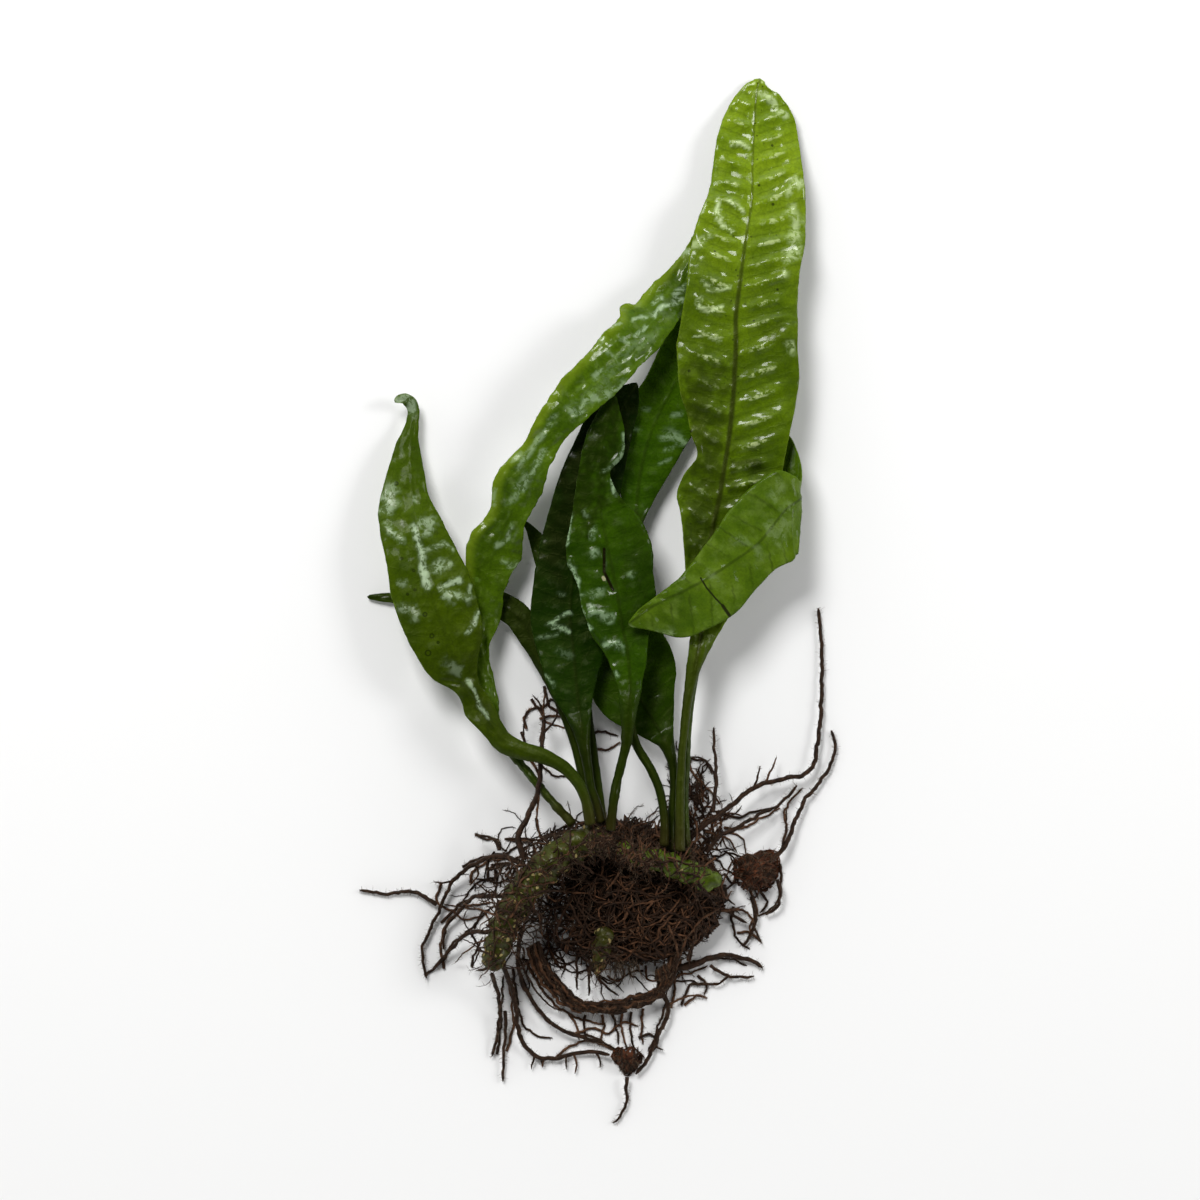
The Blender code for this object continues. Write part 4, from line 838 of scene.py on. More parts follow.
LONG_SKIN = frond_skin(
    "long_wavy_frond_skin", base=((34, 54, 0), (60, 86, 0)), tip=((36, 62, 0), (72, 100, 4)),
    rib=(26, 46, 0), underside=((46, 76, 10), (74, 100, 26)), rib_share=0.15, vein_dark=0.06,
    glint_paint=0.04, dots=(5.0, 0.07, 0.2, 0.5), film=0.37, blend=(0.3, 0.6), painted_sheen=(166, 188, 152),
    stalk=(30, 44, 0), pale_margin=0.55,
)
dress(long_wavy, ["long_wavy_frond"], [LONG_SKIN])

# The front frond is dark and glossy, pinched in the middle of its length, with wavy margins. Its
# blade is torn by a short slit beside the midrib.

# The slit is painted near black: painted shade in the hollow of the tear, over the brown of torn tissue.
SLIT = ((1.4, 12.3), (1.4, 7.1), (3.4, 3.0))
# The fleck at the torn edge is pale tissue, painted lighter still as a highlight on that edge.
TORN_FLECK_AND_GLINT = ((1.2, 5.8), (1.4, 5.4))
FRONT_CREASES = (
    (SLIT, 0.4, -0.5), (((-6.2, 20.1), (-6.9, 16.6), (-7.0, 13.7)), 0.5, 0.45),
    (((-6.4, 9.6), (-4.8, 4.8), (-4.3, 0.0), (-1.4, -5.7), (0.7, -8.2)), 0.75, 0.7),
    (((-1.6, 17.5), (-0.9, 15.0)), 1.1, 0.5), (((-1.2, 11.8), (-0.8, 10.4)), 1.1, 0.45),
    (((-1.6, -2.0), (3.0, -2.4)), 1.2, 0.6), (((2.6, -9.6), (4.0, -9.2)), 1.3, 0.6),
    (((6.2, 38.0), (4.9, 34.0), (2.4, 31.0)), 0.5, 0.4), (((2.7, 29.9), (4.1, 25.2)), 0.5, 0.4),
    (((-8.0, 24.0), (-5.0, 26.6)), 0.8, 0.3), (((6.0, 5.4), (7.6, 6.4)), 1.1, 0.4),
)
# Wet patches: a glossier coat there, and a pale sheen painted in as a painted reflection.
FRONT_WET_SHEEN = (
    (((-6.9, 22.4), (-6.2, 19.5), (-6.6, 16.9), (-7.1, 13.7)), 0.42, 0.95),
    (((-6.9, 9.3), (-5.6, 7.4), (-4.5, 4.3), (-4.8, 1.6), (-4.3, -1.5), (-1.8, -6.2)), 0.5, 0.95),
    (((-1.1, 16.9), (-1.1, 14.8)), 0.65, 0.65), (((-0.9, 12.1), (-0.9, 10.6)), 0.7, 0.5),
    (((-4.0, 2.2), (-1.4, 1.9), (0.7, 2.7)), 0.75, 0.4),
    (((-1.4, -1.5), (1.2, -2.5), (2.3, -3.6)), 0.95, 0.55),
    (((2.0, -9.4), (3.8, -8.9), (4.6, -10.2)), 0.95, 0.7), (((4.1, -15.9), (4.4, -16.7)), 0.45, 0.7),
    (((5.9, 38.4), (6.2, 35.2), (5.1, 33.1), (2.8, 31.0), (1.2, 30.0)), 0.4, 0.55),
    (((3.3, 27.9), (4.1, 24.7)), 0.4, 0.8), (((8.0, 6.9), (7.5, 6.4)), 0.6, 0.35),
    (((-3.0, 21.1), (-2.7, 20.0)), 0.5, 0.3),
)
FRONT_SHADE = (
    (((4.6, 28.0), (5.4, 23.5)), 1.3, 0.7),
    (((3.2, 46.0), (-0.5, 36.0), (-2.5, 28.0), (-4.8, 21.0)), 4.6, 0.85),
    (((3.8, 46.0), (2.6, 38.0), (1.4, 32.0)), 4.0, 0.5),
    (((8.5, 16.0), (9.6, 4.0), (8.0, -6.0)), 3.4, 0.36), (((5.0, -19.0), (9.4, -21.5)), 2.6, 0.3),
)
FRONT_DULL = ((((5.2, -17.4), (9.4, -18.6)), 2.0, 0.9), (((6.4, -21.0), (8.6, -22.0)), 2.0, 0.9))
front = frond_blade(
    "front_frond_blade",
    [
        (2.8, -51.9, 14.8, 1.2, 1.2), (3.5, -46.2, 15.6, 1.1, 1.1), (4.1, -41.6, 15.2, 1.1, 1.1),
        (5.5, -35.9, 14.8, 1.0, 1.0), (6.6, -31.3, 14.6, 1.2, 1.2), (6.9, -25.6, 14.4, 1.8, 1.8),
        (7.3, -19.9, 14.0, 2.9, 2.6), (6.7, -10.7, 13.5, 5.2, 4.7), (5.5, -5.0, 13.1, 7.5, 6.8),
        (4.6, 1.0, 12.8, 8.6, 8.7), (3.6, 6.0, 12.6, 8.5, 9.2), (2.5, 11.2, 12.5, 9.8, 10.0),
        (1.4, 17.0, 12.3, 8.4, 8.8), (0.7, 20.5, 12.2, 7.0, 6.8), (0.2, 25.5, 12.0, 5.4, 4.0),
        (0.1, 30.2, 11.9, 4.6, 2.7), (0.8, 34.5, 11.8, 4.4, 5.0), (1.8, 39.5, 11.6, 3.8, 4.4),
        (3.0, 44.5, 11.4, 2.2, 2.2), (3.8, 47.4, 11.3, 0.4, 0.4),
    ],
    rings=280, ridge=0.08, pitch=5.0, ruffle=0.35, wave=18.0, arch=-0.1, wrinkle=0.05, seed=5.3,
    lumps=((4.2, 0.7), (1.4, 0.18)), creases=FRONT_CREASES, wet_sheen=FRONT_WET_SHEEN, shade=FRONT_SHADE,
    dull=FRONT_DULL,
)
FRONT_SKIN = frond_skin(
    "front_frond_skin", base=((20, 44, 0), (40, 68, 0)), tip=((18, 41, 0), (43, 70, 0)), rib=(20, 34, 0),
    underside=((34, 58, 8), (54, 78, 18)), rib_share=0.5, vein_dark=0.35, glint_paint=0.02,
    dots=(5.0, 0.07, 0.15, 0.4), film=0.35, gleam=0.09, stalk=(24, 34, 0),
    # Near black for the slit, painted shade in the tear; pale for the fleck, partly a painted highlight.
    scars=((SLIT, 0.45, (14, 12, 2)), (TORN_FLECK_AND_GLINT, 0.5, (148, 146, 112))),
)
dress(front, ["front_frond"], [FRONT_SKIN])

# Three more dark fronds fill the middle behind the front one: a long one to its left, one that
# leans right until the tall frond hides its tip, and a short broad one low down. Two small young
# fronds, a narrow one that runs out to the left and a pointed one, lie lowest. Their greens are
# partly painted shade, darker where they lie under the other fronds.

DARK_FRONDS = {
    "dark_frond": dict(
        stations=[
            (0.8, -50.3, 14.0, 1.15, 1.15), (-0.2, -46.2, 13.5, 1.1, 1.1), (-1.6, -42.0, 13.0, 1.0, 1.0),
            (-2.3, -37.7, 12.5, 1.1, 1.1), (-3.2, -32.5, 11.9, 1.4, 1.5), (-4.1, -25.8, 11.1, 3.2, 2.6),
            (-4.8, -19.9, 10.4, 6.0, 4.1), (-5.5, -11.9, 9.6, 7.9, 6.9), (-6.4, -3.9, 9.0, 9.0, 8.0),
            (-5.9, 4.1, 8.6, 8.9, 8.0), (-4.8, 12.1, 8.2, 8.6, 7.6), (-3.2, 20.1, 7.9, 8.0, 7.2),
            (-1.1, 28.1, 7.6, 7.6, 6.8), (1.1, 35.0, 7.4, 6.8, 6.0), (3.9, 41.8, 7.2, 6.0, 4.8),
            (6.9, 47.5, 7.0, 3.4, 3.0), (8.9, 50.5, 6.8, 0.4, 0.4),
        ],
        rings=240, columns=48, ridge=0.1, pitch=4.6, ruffle=0.3, wave=20.0, arch=-0.05, seed=6.7,
        # Wet patches: a glossier coat there, and a pale sheen painted in as a painted reflection.
        wet_sheen=(
            (((-6.1, -2.3), (-8.7, -3.1), (-11.1, -4.6), (-9.3, -5.4), (-6.6, -6.5)), 0.42, 0.85),
            (((-14.0, -8.3), (-9.3, -7.0)), 0.45, 0.35), (((-8.4, 2.4), (-8.0, 1.9)), 0.4, 0.6),
            (((-12.2, -16.7), (-10.1, -18.8)), 0.45, 0.5), (((-9.0, -11.0), (-6.5, -12.0)), 0.8, 0.15),
        ),
        shade=(
            (((5.0, 46.0), (0.0, 36.0), (-5.5, 24.0), (-9.5, 12.0)), 5.0, 0.85),
            (((-10.5, 8.0), (-9.0, 2.0)), 2.5, 0.4),
        ),
    ),
    "back_frond": dict(
        stations=[
            (15.1, -55.75, 13.45, 1.1, 1.1), (15.1, -48.5, 12.9, 1.0, 1.0), (14.2, -43.2, 11.9, 1.0, 1.0),
            (11.9, -37.7, 10.5, 1.0, 1.0), (9.1, -33.1, 9.2, 1.0, 1.0), (7.1, -25.6, 8.2, 1.0, 1.0),
            (6.4, -17.6, 7.6, 1.0, 1.0), (6.9, -8.5, 6.9, 1.0, 1.0), (7.8, 0.7, 6.1, 1.0, 1.0),
            (8.5, 9.8, 5.4, 1.1, 1.1), (8.7, 17.8, 4.9, 1.6, 1.6), (9.1, 24.7, 4.6, 4.0, 4.2),
            (10.1, 31.5, 4.4, 6.4, 6.8), (11.7, 37.5, 4.3, 7.4, 8.2), (13.9, 43.2, 4.3, 7.2, 9.2),
            (16.9, 48.9, 4.2, 6.6, 9.2), (20.1, 54.4, 4.1, 7.2, 8.6), (23.4, 60.1, 3.8, 7.2, 7.6),
            (26.6, 65.8, 3.4, 5.8, 5.8), (29.3, 71.3, 2.8, 3.2, 3.2), (31.3, 75.5, 2.4, 0.4, 0.4),
        ],
        rings=240, columns=40, ridge=0.14, pitch=4.2, ruffle=0.3, wave=22.0, arch=-0.04, seed=7.9,
        # Wet patches: a glossier coat there, and a pale sheen painted in as a painted reflection.
        wet_sheen=(
            (((15.4, 38.4), (18.0, 38.9), (19.9, 36.8)), 1.0, 0.6),
            (((17.0, 43.1), (18.8, 43.6)), 0.45, 0.55), (((15.9, 35.2), (17.0, 35.8)), 0.5, 0.5),
            (((14.3, 32.1), (16.4, 33.1)), 0.45, 0.5), (((10.4, 45.0), (11.0, 44.8)), 0.6, 0.3),
            (((8.3, 40.2), (8.9, 39.8)), 0.5, 0.35),
        ),
    ),
    "broad_short_frond": dict(
        stations=[
            (16.7, -57.1, 10.5, 1.1, 1.1), (16.9, -48.5, 9.2, 1.0, 1.0), (17.4, -42.7, 8.4, 1.0, 1.0),
            (17.1, -37.0, 7.6, 1.1, 1.1), (15.8, -32.5, 6.8, 1.8, 1.8), (12.8, -27.2, 5.8, 5.0, 5.4),
            (9.1, -20.8, 5.0, 9.4, 9.8), (6.6, -13.9, 4.4, 9.8, 10.8), (5.0, -7.1, 3.8, 8.6, 9.2),
            (4.1, -0.2, 3.1, 5.6, 5.8), (3.7, 3.5, 2.6, 3.0, 3.0), (3.6, 6.0, 2.2, 0.4, 0.4),
        ],
        rings=170, ridge=0.1, pitch=5.5, ruffle=0.25, wave=19.0, arch=-0.03, seed=8.8,
    ),
    "narrow_frond": dict(
        stations=[
            (-1.8, -50.5, 11.9, 1.0, 1.0), (-3.6, -39.3, 9.2, 1.0, 1.0), (-7.1, -26.7, 6.8, 1.2, 1.2),
            (-11.4, -15.8, 5.4, 2.0, 2.0), (-16.0, -6.6, 4.6, 3.0, 3.0), (-19.0, -2.5, 4.0, 3.1, 3.1),
            (-22.4, -0.5, 3.5, 3.1, 3.1), (-29.3, 0.7, 2.7, 3.0, 3.0), (-38.4, 1.1, 1.9, 2.4, 2.4),
            (-47.3, 1.2, 1.4, 1.2, 1.2), (-51.0, 1.3, 1.1, 0.8, 0.8), (-53.2, 1.4, 1.0, 0.4, 0.4),
        ],
        rings=150, columns=28, ridge=0.08, pitch=5.0, ruffle=0.15, wave=18.0, arch=-0.03, seed=9.1,
    ),
    "small_pointed_frond": dict(
        stations=[
            (1.3, -50.9, 11.6, 1.0, 1.0), (-0.5, -38.2, 8.8, 1.0, 1.0), (-1.8, -29.0, 7.6, 1.0, 1.0),
            (-3.4, -19.9, 6.7, 1.4, 1.4), (-5.5, -10.7, 5.9, 3.0, 3.0), (-8.2, -1.6, 5.1, 4.2, 4.4),
            (-11.4, 7.5, 4.3, 2.6, 4.4), (-13.9, 13.0, 3.7, 1.6, 3.0), (-15.8, 17.0, 3.2, 0.8, 1.2),
            (-17.0, 18.8, 3.0, 0.4, 0.4),
        ],
        rings=120, columns=36, ridge=0.1, pitch=5.0, ruffle=0.15, wave=18.0, arch=-0.03, seed=9.9,
    ),
}
# The deep and the bright green at the base, then those at the tip. They are partly painted shade:
# the dark frond's top is painted almost black for the shade it lies in under the fronds above.
DARK_AND_SHADED_GREENS = {
    "dark_frond": ((8, 27, 0), (20, 44, 0), (0, 14, 0), (8, 28, 0)),
    "back_frond": ((16, 42, 0), (32, 62, 0), (36, 66, 0), (60, 92, 2)),
    "broad_short_frond": ((14, 29, 0), (27, 49, 0), (34, 60, 0), (52, 84, 0)),
    "narrow_frond": ((16, 26, 0), (28, 42, 0), (18, 32, 0), (40, 54, 8)),
    "small_pointed_frond": ((16, 30, 0), (28, 46, 0), (16, 32, 0), (28, 48, 0)),
}
for name, shape in DARK_FRONDS.items():
    piece = frond_blade(name + "_blade", **shape)
    skin = frond_skin(
        name + "_skin", base=DARK_AND_SHADED_GREENS[name][:2], tip=DARK_AND_SHADED_GREENS[name][2:], rib=(14, 24, 0),
        underside=((30, 52, 8), (50, 74, 18)), rib_share=0.5, glint_paint=0.02, dots=(5.0, 0.07, 0.15, 0.4),
        film=0.3, gleam=0.1, stalk=(26, 38, 0),
    )
    dress(piece, [name], [skin])

# The creeping stem is knobbly and green-brown, ringed by old leaf scars and sprinkled with beige
# papery scales. Its side branch is a fresher green, and the growing point bends down to the roots.

SCAR_SPACING = 4.2
SCAR_HEIGHT = 0.28
STEM_COLUMNS = 48
KNOB_HEIGHT = 0.35
SCALE_SIZE = 0.62


def stem_body(name, stations, rings):
    """A creeping stem with domed ends; a station is (x, y, z, radius)."""
    piece, share, ring = rolled_grid(name, rings, STEM_COLUMNS)
    places, rows = along(stations, count=ring.max() + 1)
    heading = unit(np.gradient(rows[:, :3], places, axis=0))
    side = unit(np.cross(heading, (0.0, 0.0, 1.0)))
    up = unit(np.cross(side, heading))
    place = places[ring]
    radius = rows[ring, 3]
    angle = 2 * math.pi * share
    from_end = np.minimum(place, places[-1] - place)
    dome = np.sqrt(np.clip(1 - np.clip(1 - from_end / (1.3 * radius), 0, 1) ** 2, 0, 1))
    swell = SCAR_HEIGHT * np.sin(2 * math.pi * place / SCAR_SPACING + 2 * angle)
    swell += KNOB_HEIGHT * waver(place + 1.3 * np.sin(angle), 5.3, 2.2) * np.sin(angle * 3 + place / 2)
    swell -= 0.16 * np.abs(np.sin(math.pi * place / 1.9 + 0.7 * np.sin(angle))) ** 12
    reach = (dome * (radius + swell))[:, None]
    points = rows[ring, :3] + reach * (
        np.cos(angle)[:, None] * side[ring] + np.sin(angle)[:, None] * up[ring]
    )
    close_tube(piece, points)
    roughen(piece, 1.5, 0.5)
    roughen(piece, 0.5, 0.14)
    return piece


def merged(name, pieces):
    """Joins the pieces into the first one."""
    pick(*pieces)
    bpy.ops.object.join()
    pieces[0].name = name
    return pieces[0]


def papery_scale():
    """One thin curved scale, a millimetre long, pointed at its free end."""
    bpy.ops.object.select_all(action="DESELECT")
    bpy.ops.mesh.primitive_uv_sphere_add(segments=8, ring_count=5, radius=MM)
    model = bpy.context.object
    for point in model.data.vertices:
        x, y, z = point.co
        point.co = (x * (0.55 - 0.35 * x / MM), y * 0.9, z * 0.16 + 0.22 * x * x / MM)
    return model


def scaled_over(body, model, count, seed, skins):
    """Scatters copies of a scale over a body's faces, each lying along its face."""
    rng = np.random.default_rng(seed)
    faces = body.data.polygons
    copies = [body]
    for index in rng.choice(len(faces), count, replace=False):
        face = faces[int(index)]
        flat = face.normal.orthogonal().normalized()
        flat.rotate(Matrix.Rotation(rng.uniform(0, 2 * math.pi), 3, face.normal))
        across = face.normal.cross(flat)
        turned = Matrix((flat, across, face.normal)).transposed().to_4x4()
        reach = SCALE_SIZE * rng.uniform(0.5, 1.3)
        made = model.copy()
        made.data = model.data.copy()
        bpy.context.scene.collection.objects.link(made)
        made.data.transform(Matrix.Translation(face.center) @ turned @ Matrix.Scale(reach, 4))
        made.data.materials.clear()
        made.data.materials.append(skins[int(rng.integers(1, len(skins)))])
        made.data.shade_smooth()
        copies.append(made)
    body.data.materials.clear()
    body.data.materials.append(skins[0])
    return merged(body.name, copies)


def stem_skin(name, deep, bright, husk, roughness=0.45, husk_from=0.5):
    """Knobbly stem skin: two greens in clouds, with patches of brown husk."""
    made, tree, shader = fresh_skin(name)
    flesh = placed(tree, LEAF_FLESH, Deep=paint(*deep), Bright=paint(*bright))["Color"]
    patches = noise(tree, 1.5, detail=4, roughness=0.7)
    colour = mixed(tree, ranged(tree, patches, husk_from, husk_from + 0.16), flesh, paint(*husk))
    feed(tree, shader["Base Color"], colour)
    grain = noise(tree, 0.35, detail=4, roughness=0.65)
    feed(tree, shader["Roughness"], ranged(tree, grain, 0.3, 0.7, roughness - 0.12, roughness + 0.15))
    shader["Coat Weight"].default_value = 0.12
    shader["Coat Roughness"].default_value = 0.2
    shader["Specular IOR Level"].default_value = 0.2
    shader["Specular Tint"].default_value = (0.9, 0.85, 0.4, 1.0)
    feed(tree, shader["Normal"], bumped(tree, grain, 0.12, 0.8))
    return made


RHIZOME_SKIN = stem_skin("rhizome_skin", (15, 17, 2), (54, 60, 6), (42, 31, 16))
BRANCH_SKIN = stem_skin("branch_skin", (26, 38, 0), (94, 116, 22), (36, 40, 8), 0.4, 0.56)
BUD_SKIN = stem_skin("bud_skin", (14, 17, 0), (46, 48, 4), (40, 28, 12))
PALE_SCALE = stem_skin("pale_scale", (96, 84, 46), (152, 138, 92), (80, 60, 30), 0.7)
BROWN_SCALE = stem_skin("brown_scale", (40, 27, 13), (76, 56, 30), (32, 20, 10), 0.7)

SCALE_MODEL = papery_scale()
# A stem is (rings of its mesh, how many papery scales, skin, stations).
STEMS = {
    "rhizome": (160, 320, RHIZOME_SKIN, [
        (3.4, -55.0, 12.2, 2.6), (0.4, -54.2, 12.8, 3.2), (-3.5, -54.6, 13.4, 3.6),
        (-8.0, -57.0, 13.9, 3.7), (-13.3, -61.5, 14.1, 3.7), (-17.8, -66.8, 13.7, 3.6),
        (-20.8, -72.5, 13.1, 3.4), (-22.9, -78.2, 12.3, 3.1), (-24.5, -83.9, 11.5, 2.5),
    ]),
    "rhizome_branch": (110, 14, BRANCH_SKIN, [
        (4.15, -55.25, 12.2, 2.4), (9.6, -58.0, 12.8, 2.4), (13.2, -58.6, 13.2, 2.5),
        (16.9, -59.8, 13.4, 2.6), (21.0, -61.5, 13.4, 2.6), (24.5, -63.1, 12.9, 2.5),
        (28.3, -62.9, 12.0, 1.9),
    ]),
    "rhizome_bud": (60, 70, BUD_SKIN, [
        (1.7, -73.8, 11.8, 2.2), (1.2, -77.0, 11.3, 2.1), (0.5, -80.0, 10.5, 1.8),
        (-0.2, -85.0, 8.8, 0.7),
    ]),
}
stems = []
bare_stem_faces = []
for number, (name, (rings, scales, skin, stations)) in enumerate(STEMS.items()):
    body = stem_body(name + "_stem", stations, rings)
    bare_stem_faces.append([(face.center.copy(), face.normal.copy()) for face in body.data.polygons])
    dressed = scaled_over(body, SCALE_MODEL, scales, 11 + number, [skin, PALE_SCALE, BROWN_SCALE])
    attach(dressed, "root")
    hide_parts(name)
    stems.append(dressed)
bpy.data.objects.remove(SCALE_MODEL)

# The root ball under the stem is a felt of wandering roots and root hair, dense on the right and a
# see-through net on the left. It is what the plant lies on, so its underside is pressed flat, and
# loose roots lie over it and over the stem.

HAIR_THICK = 0.038
HAIR_THIN = 0.016
LOWEST = 0.06
LOWEST_FELT = 0.05
ABOVE_ALL = 0.1


def root_skin(name, dark, light, roughness=0.6):
    """Damp root skin: two browns in clouds, with a fine grain."""
    made, tree, shader = fresh_skin(name)
    tone = ranged(tree, noise(tree, 1.4, detail=4, roughness=0.65), 0.3, 0.72)
    feed(tree, shader["Base Color"], mixed(tree, tone, paint(*dark), paint(*light)))
    grain = noise(tree, 0.25, detail=3, roughness=0.6)
    feed(tree, shader["Roughness"], ranged(tree, grain, 0.3, 0.7, roughness - 0.1, roughness + 0.12))
    shader["Specular IOR Level"].default_value = 0.15
    shader["Specular Tint"].default_value = (1.0, 0.82, 0.66, 1.0)
    feed(tree, shader["Normal"], bumped(tree, grain, 0.08, 0.8))
    return made


ROOT_CORE = root_skin("root_core", (20, 12, 8), (50, 32, 21))
ROOT_PALE = root_skin("root_pale", (38, 23, 14), (94, 64, 44))
ROOT_FUZZ = root_skin("root_fuzz", (54, 42, 33), (116, 100, 82), 0.75)
ROOT_SKINS = [ROOT_CORE, ROOT_PALE, ROOT_FUZZ]
CORE, PALE, FUZZ = range(3)


def strands(name, lines):
    """One mesh of many tapering strands. A line is (skin number, rows of x, y, z and radius)."""
    curve = bpy.data.curves.new(name, "CURVE")
    curve.dimensions = "3D"
    curve.bevel_depth = MM
    curve.bevel_resolution = 0
    curve.use_fill_caps = True
    for skin in ROOT_SKINS:
        curve.materials.append(skin)
    for skin_number, rows in lines:
        spline = curve.splines.new("POLY")
        spline.points.add(len(rows) - 1)
        places = np.ones((len(rows), 4))
        places[:, :3] = rows[:, :3]
        places[:, 2] = np.maximum(places[:, 2], rows[:, 3] + LOWEST)
        places[:, :3] *= MM
        spline.points.foreach_set("co", places.ravel())
        spline.points.foreach_set("radius", np.ascontiguousarray(rows[:, 3]))
        spline.material_index = skin_number
        spline.use_smooth = True
    piece = bpy.data.objects.new(name, curve)
    bpy.context.scene.collection.objects.link(piece)
    pick(piece)
    bpy.ops.object.convert(target="MESH")
    return bpy.context.object


def wiry(points, thick, thin, seed, step=0.8, wobble=0.22):
    """A strand through the points that kinks a little on its way; its ends stay where they are.
    thick and thin are its radii there.
    """
    places, rows = along(points, step=step)
    held = np.sqrt(np.clip(np.sin(math.pi * places / places[-1]), 0, 1))
    for axis in range(3):
        swing = waver(places, 5.5, seed + 1.9 * axis) + 0.5 * waver(places, 1.9, seed + 2.7 * axis)
        rows[:, axis] += wobble * held * swing * (0.5 if axis == 2 else 1.0)
    radius = thick + (thin - thick) * places / places[-1]
    radius *= 1 + 0.14 * waver(places, 2.3, seed + 5.1)
    radius[-1] *= 0.4
    return np.column_stack([rows, radius])


def hairs_on(strand, per_mm, length, rng):
    """Fine hairs that stand off a strand all round."""
    middle = strand[:, :3]
    gaps = np.linalg.norm(np.diff(middle, axis=0), axis=1)
    at = np.concatenate([[0.0], np.cumsum(gaps)])
    count = max(1, int(at[-1] * per_mm))
    lines = []
    for place in rng.uniform(0, at[-1], count):
        k = min(int(np.searchsorted(at, place, side="right")) - 1, len(gaps) - 1)
        share = (place - at[k]) / gaps[k]
        start = middle[k] + share * (middle[k + 1] - middle[k])
        forward = unit(middle[k + 1] - middle[k])
        out = rng.normal(size=3)
        out = unit(out - out @ forward * forward)
        reach = length * rng.uniform(0.4, 1.25)
        end = start + out * reach + forward * 0.3 * reach + rng.normal(scale=0.3 * reach, size=3)
        lines.append((FUZZ, np.array([[*start, HAIR_THICK], [*end, HAIR_THIN]])))
    return lines


def haired(skin_number, strand, per_mm, length, rng):
    """The strand and its hairs, ready for strands."""
    return [(skin_number, strand), *hairs_on(strand, per_mm, length, rng)]


def tree_of(piece):
    """The piece's faces, ready to be met by rays."""
    corners = [point.co for point in piece.data.vertices]
    return BVHTree.FromPolygons(corners, [tuple(face.vertices) for face in piece.data.polygons])


def laid_over(path, thick, thin, beneath, fall, seed):
    """A strand along a path seen from above, laid over what is beneath it like a thread that falls
    away from each high place by fall millimetres to the millimetre.
    """
    flat = [(x, y, 0.0) for x, y in path]
    strand = wiry(flat, thick, thin, seed, step=0.8, wobble=0.3)
    heights = np.zeros(len(strand))
    for k, (x, y) in enumerate(strand[:, :2] * MM):
        for tree in beneath:
            hit = tree.ray_cast(Vector((float(x), float(y), ABOVE_ALL)), Vector((0.0, 0.0, -1.0)))[0]
            if hit is not None:
                heights[k] = max(heights[k], hit.z / MM)
    at = run_along(strand[:, :2])
    lie = (heights[None, :] - fall * np.abs(at[:, None] - at[None, :])).max(axis=1)
    for _ in range(2):
        lie[1:-1] = (lie[:-2] + 2 * lie[1:-1] + lie[2:]) / 4
    strand[:, 2] = np.maximum(lie, heights) + strand[:, 3]
    return strand


def strewn(rng, centre, halves, length, course):
    """A short curling path seen from above, from a place in an oval patch. Without a course it sets
    off in any direction.
    """
    turned, out = rng.uniform(0, 2 * math.pi), math.sqrt(rng.uniform(0, 1))
    x = centre[0] + halves[0] * out * math.cos(turned)
    y = centre[1] + halves[1] * out * math.sin(turned)
    heading = rng.uniform(0, 2 * math.pi) if course is None else course + rng.normal(0, 0.35)
    curl = rng.normal(0, 0.25)
    path = [(x, y)]
    for _ in range(max(3, round(length * rng.uniform(0.6, 1.3) / STRAY_STEP))):
        heading += curl + rng.normal(0, 0.25)
        x, y = x + STRAY_STEP * math.cos(heading), y + STRAY_STEP * math.sin(heading)
        path.append((x, y))
    return path


MAT_CENTRE = (4.5, -66.0)
MAT_HALF_LENGTH = 25.0
MAT_HALF_WIDTH = 16.5
MAT_TURN = math.radians(-6)
MAT_REACH = (0.0, 0.4, 0.7, 0.9, 1.0, 1.06)
MAT_TOP = (9.4, 9.4, 8.7, 7.0, 4.2, 2.4)
WANDER_STEP = 1.5
STRAY_STEP = 1.6


def mat_place(p, q, height_share):
    """A place in the root ball from its shares of half-length and half-width, and of its height."""
    x = p * MAT_HALF_LENGTH
    y = q * MAT_HALF_WIDTH
    top = np.interp(np.hypot(p, q), MAT_REACH, MAT_TOP)
    return (
        MAT_CENTRE[0] + x * math.cos(MAT_TURN) - y * math.sin(MAT_TURN),
        MAT_CENTRE[1] + x * math.sin(MAT_TURN) + y * math.cos(MAT_TURN), height_share * top,
    )


def wandering_root(rng, dense, thick):
    """A root that wanders through the ball; dense ones keep to the right of it."""
    turned = rng.uniform(0, 2 * math.pi)
    out = math.sqrt(rng.uniform(0, 1))
    p, q = out * math.cos(turned), out * math.sin(turned)
    if dense:
        p = 0.32 + 0.68 * p
    course = rng.uniform(0, 2 * math.pi)
    curl = rng.normal(0, 0.22)
    level = rng.uniform(0.25, 1.0) ** 0.5
    rows = []
    steps = int(rng.integers(7, 16))
    for k in range(steps):
        course += curl + rng.normal(0, 0.35)
        p += WANDER_STEP * math.cos(course) / MAT_HALF_LENGTH
        q += WANDER_STEP * math.sin(course) / MAT_HALF_WIDTH
        if math.hypot(p, q) > 0.99:
            course = math.atan2(-q, -p) + rng.normal(0, 0.5)
            p, q = 0.97 * p, 0.97 * q
        level = min(1.04, max(0.05, level + rng.normal(0, 0.05)))
        taper = 1 - 0.5 * abs(2 * k / (steps - 1) - 1) ** 3
        rows.append((*mat_place(p, q, level), thick * taper))
    return np.array(rows)


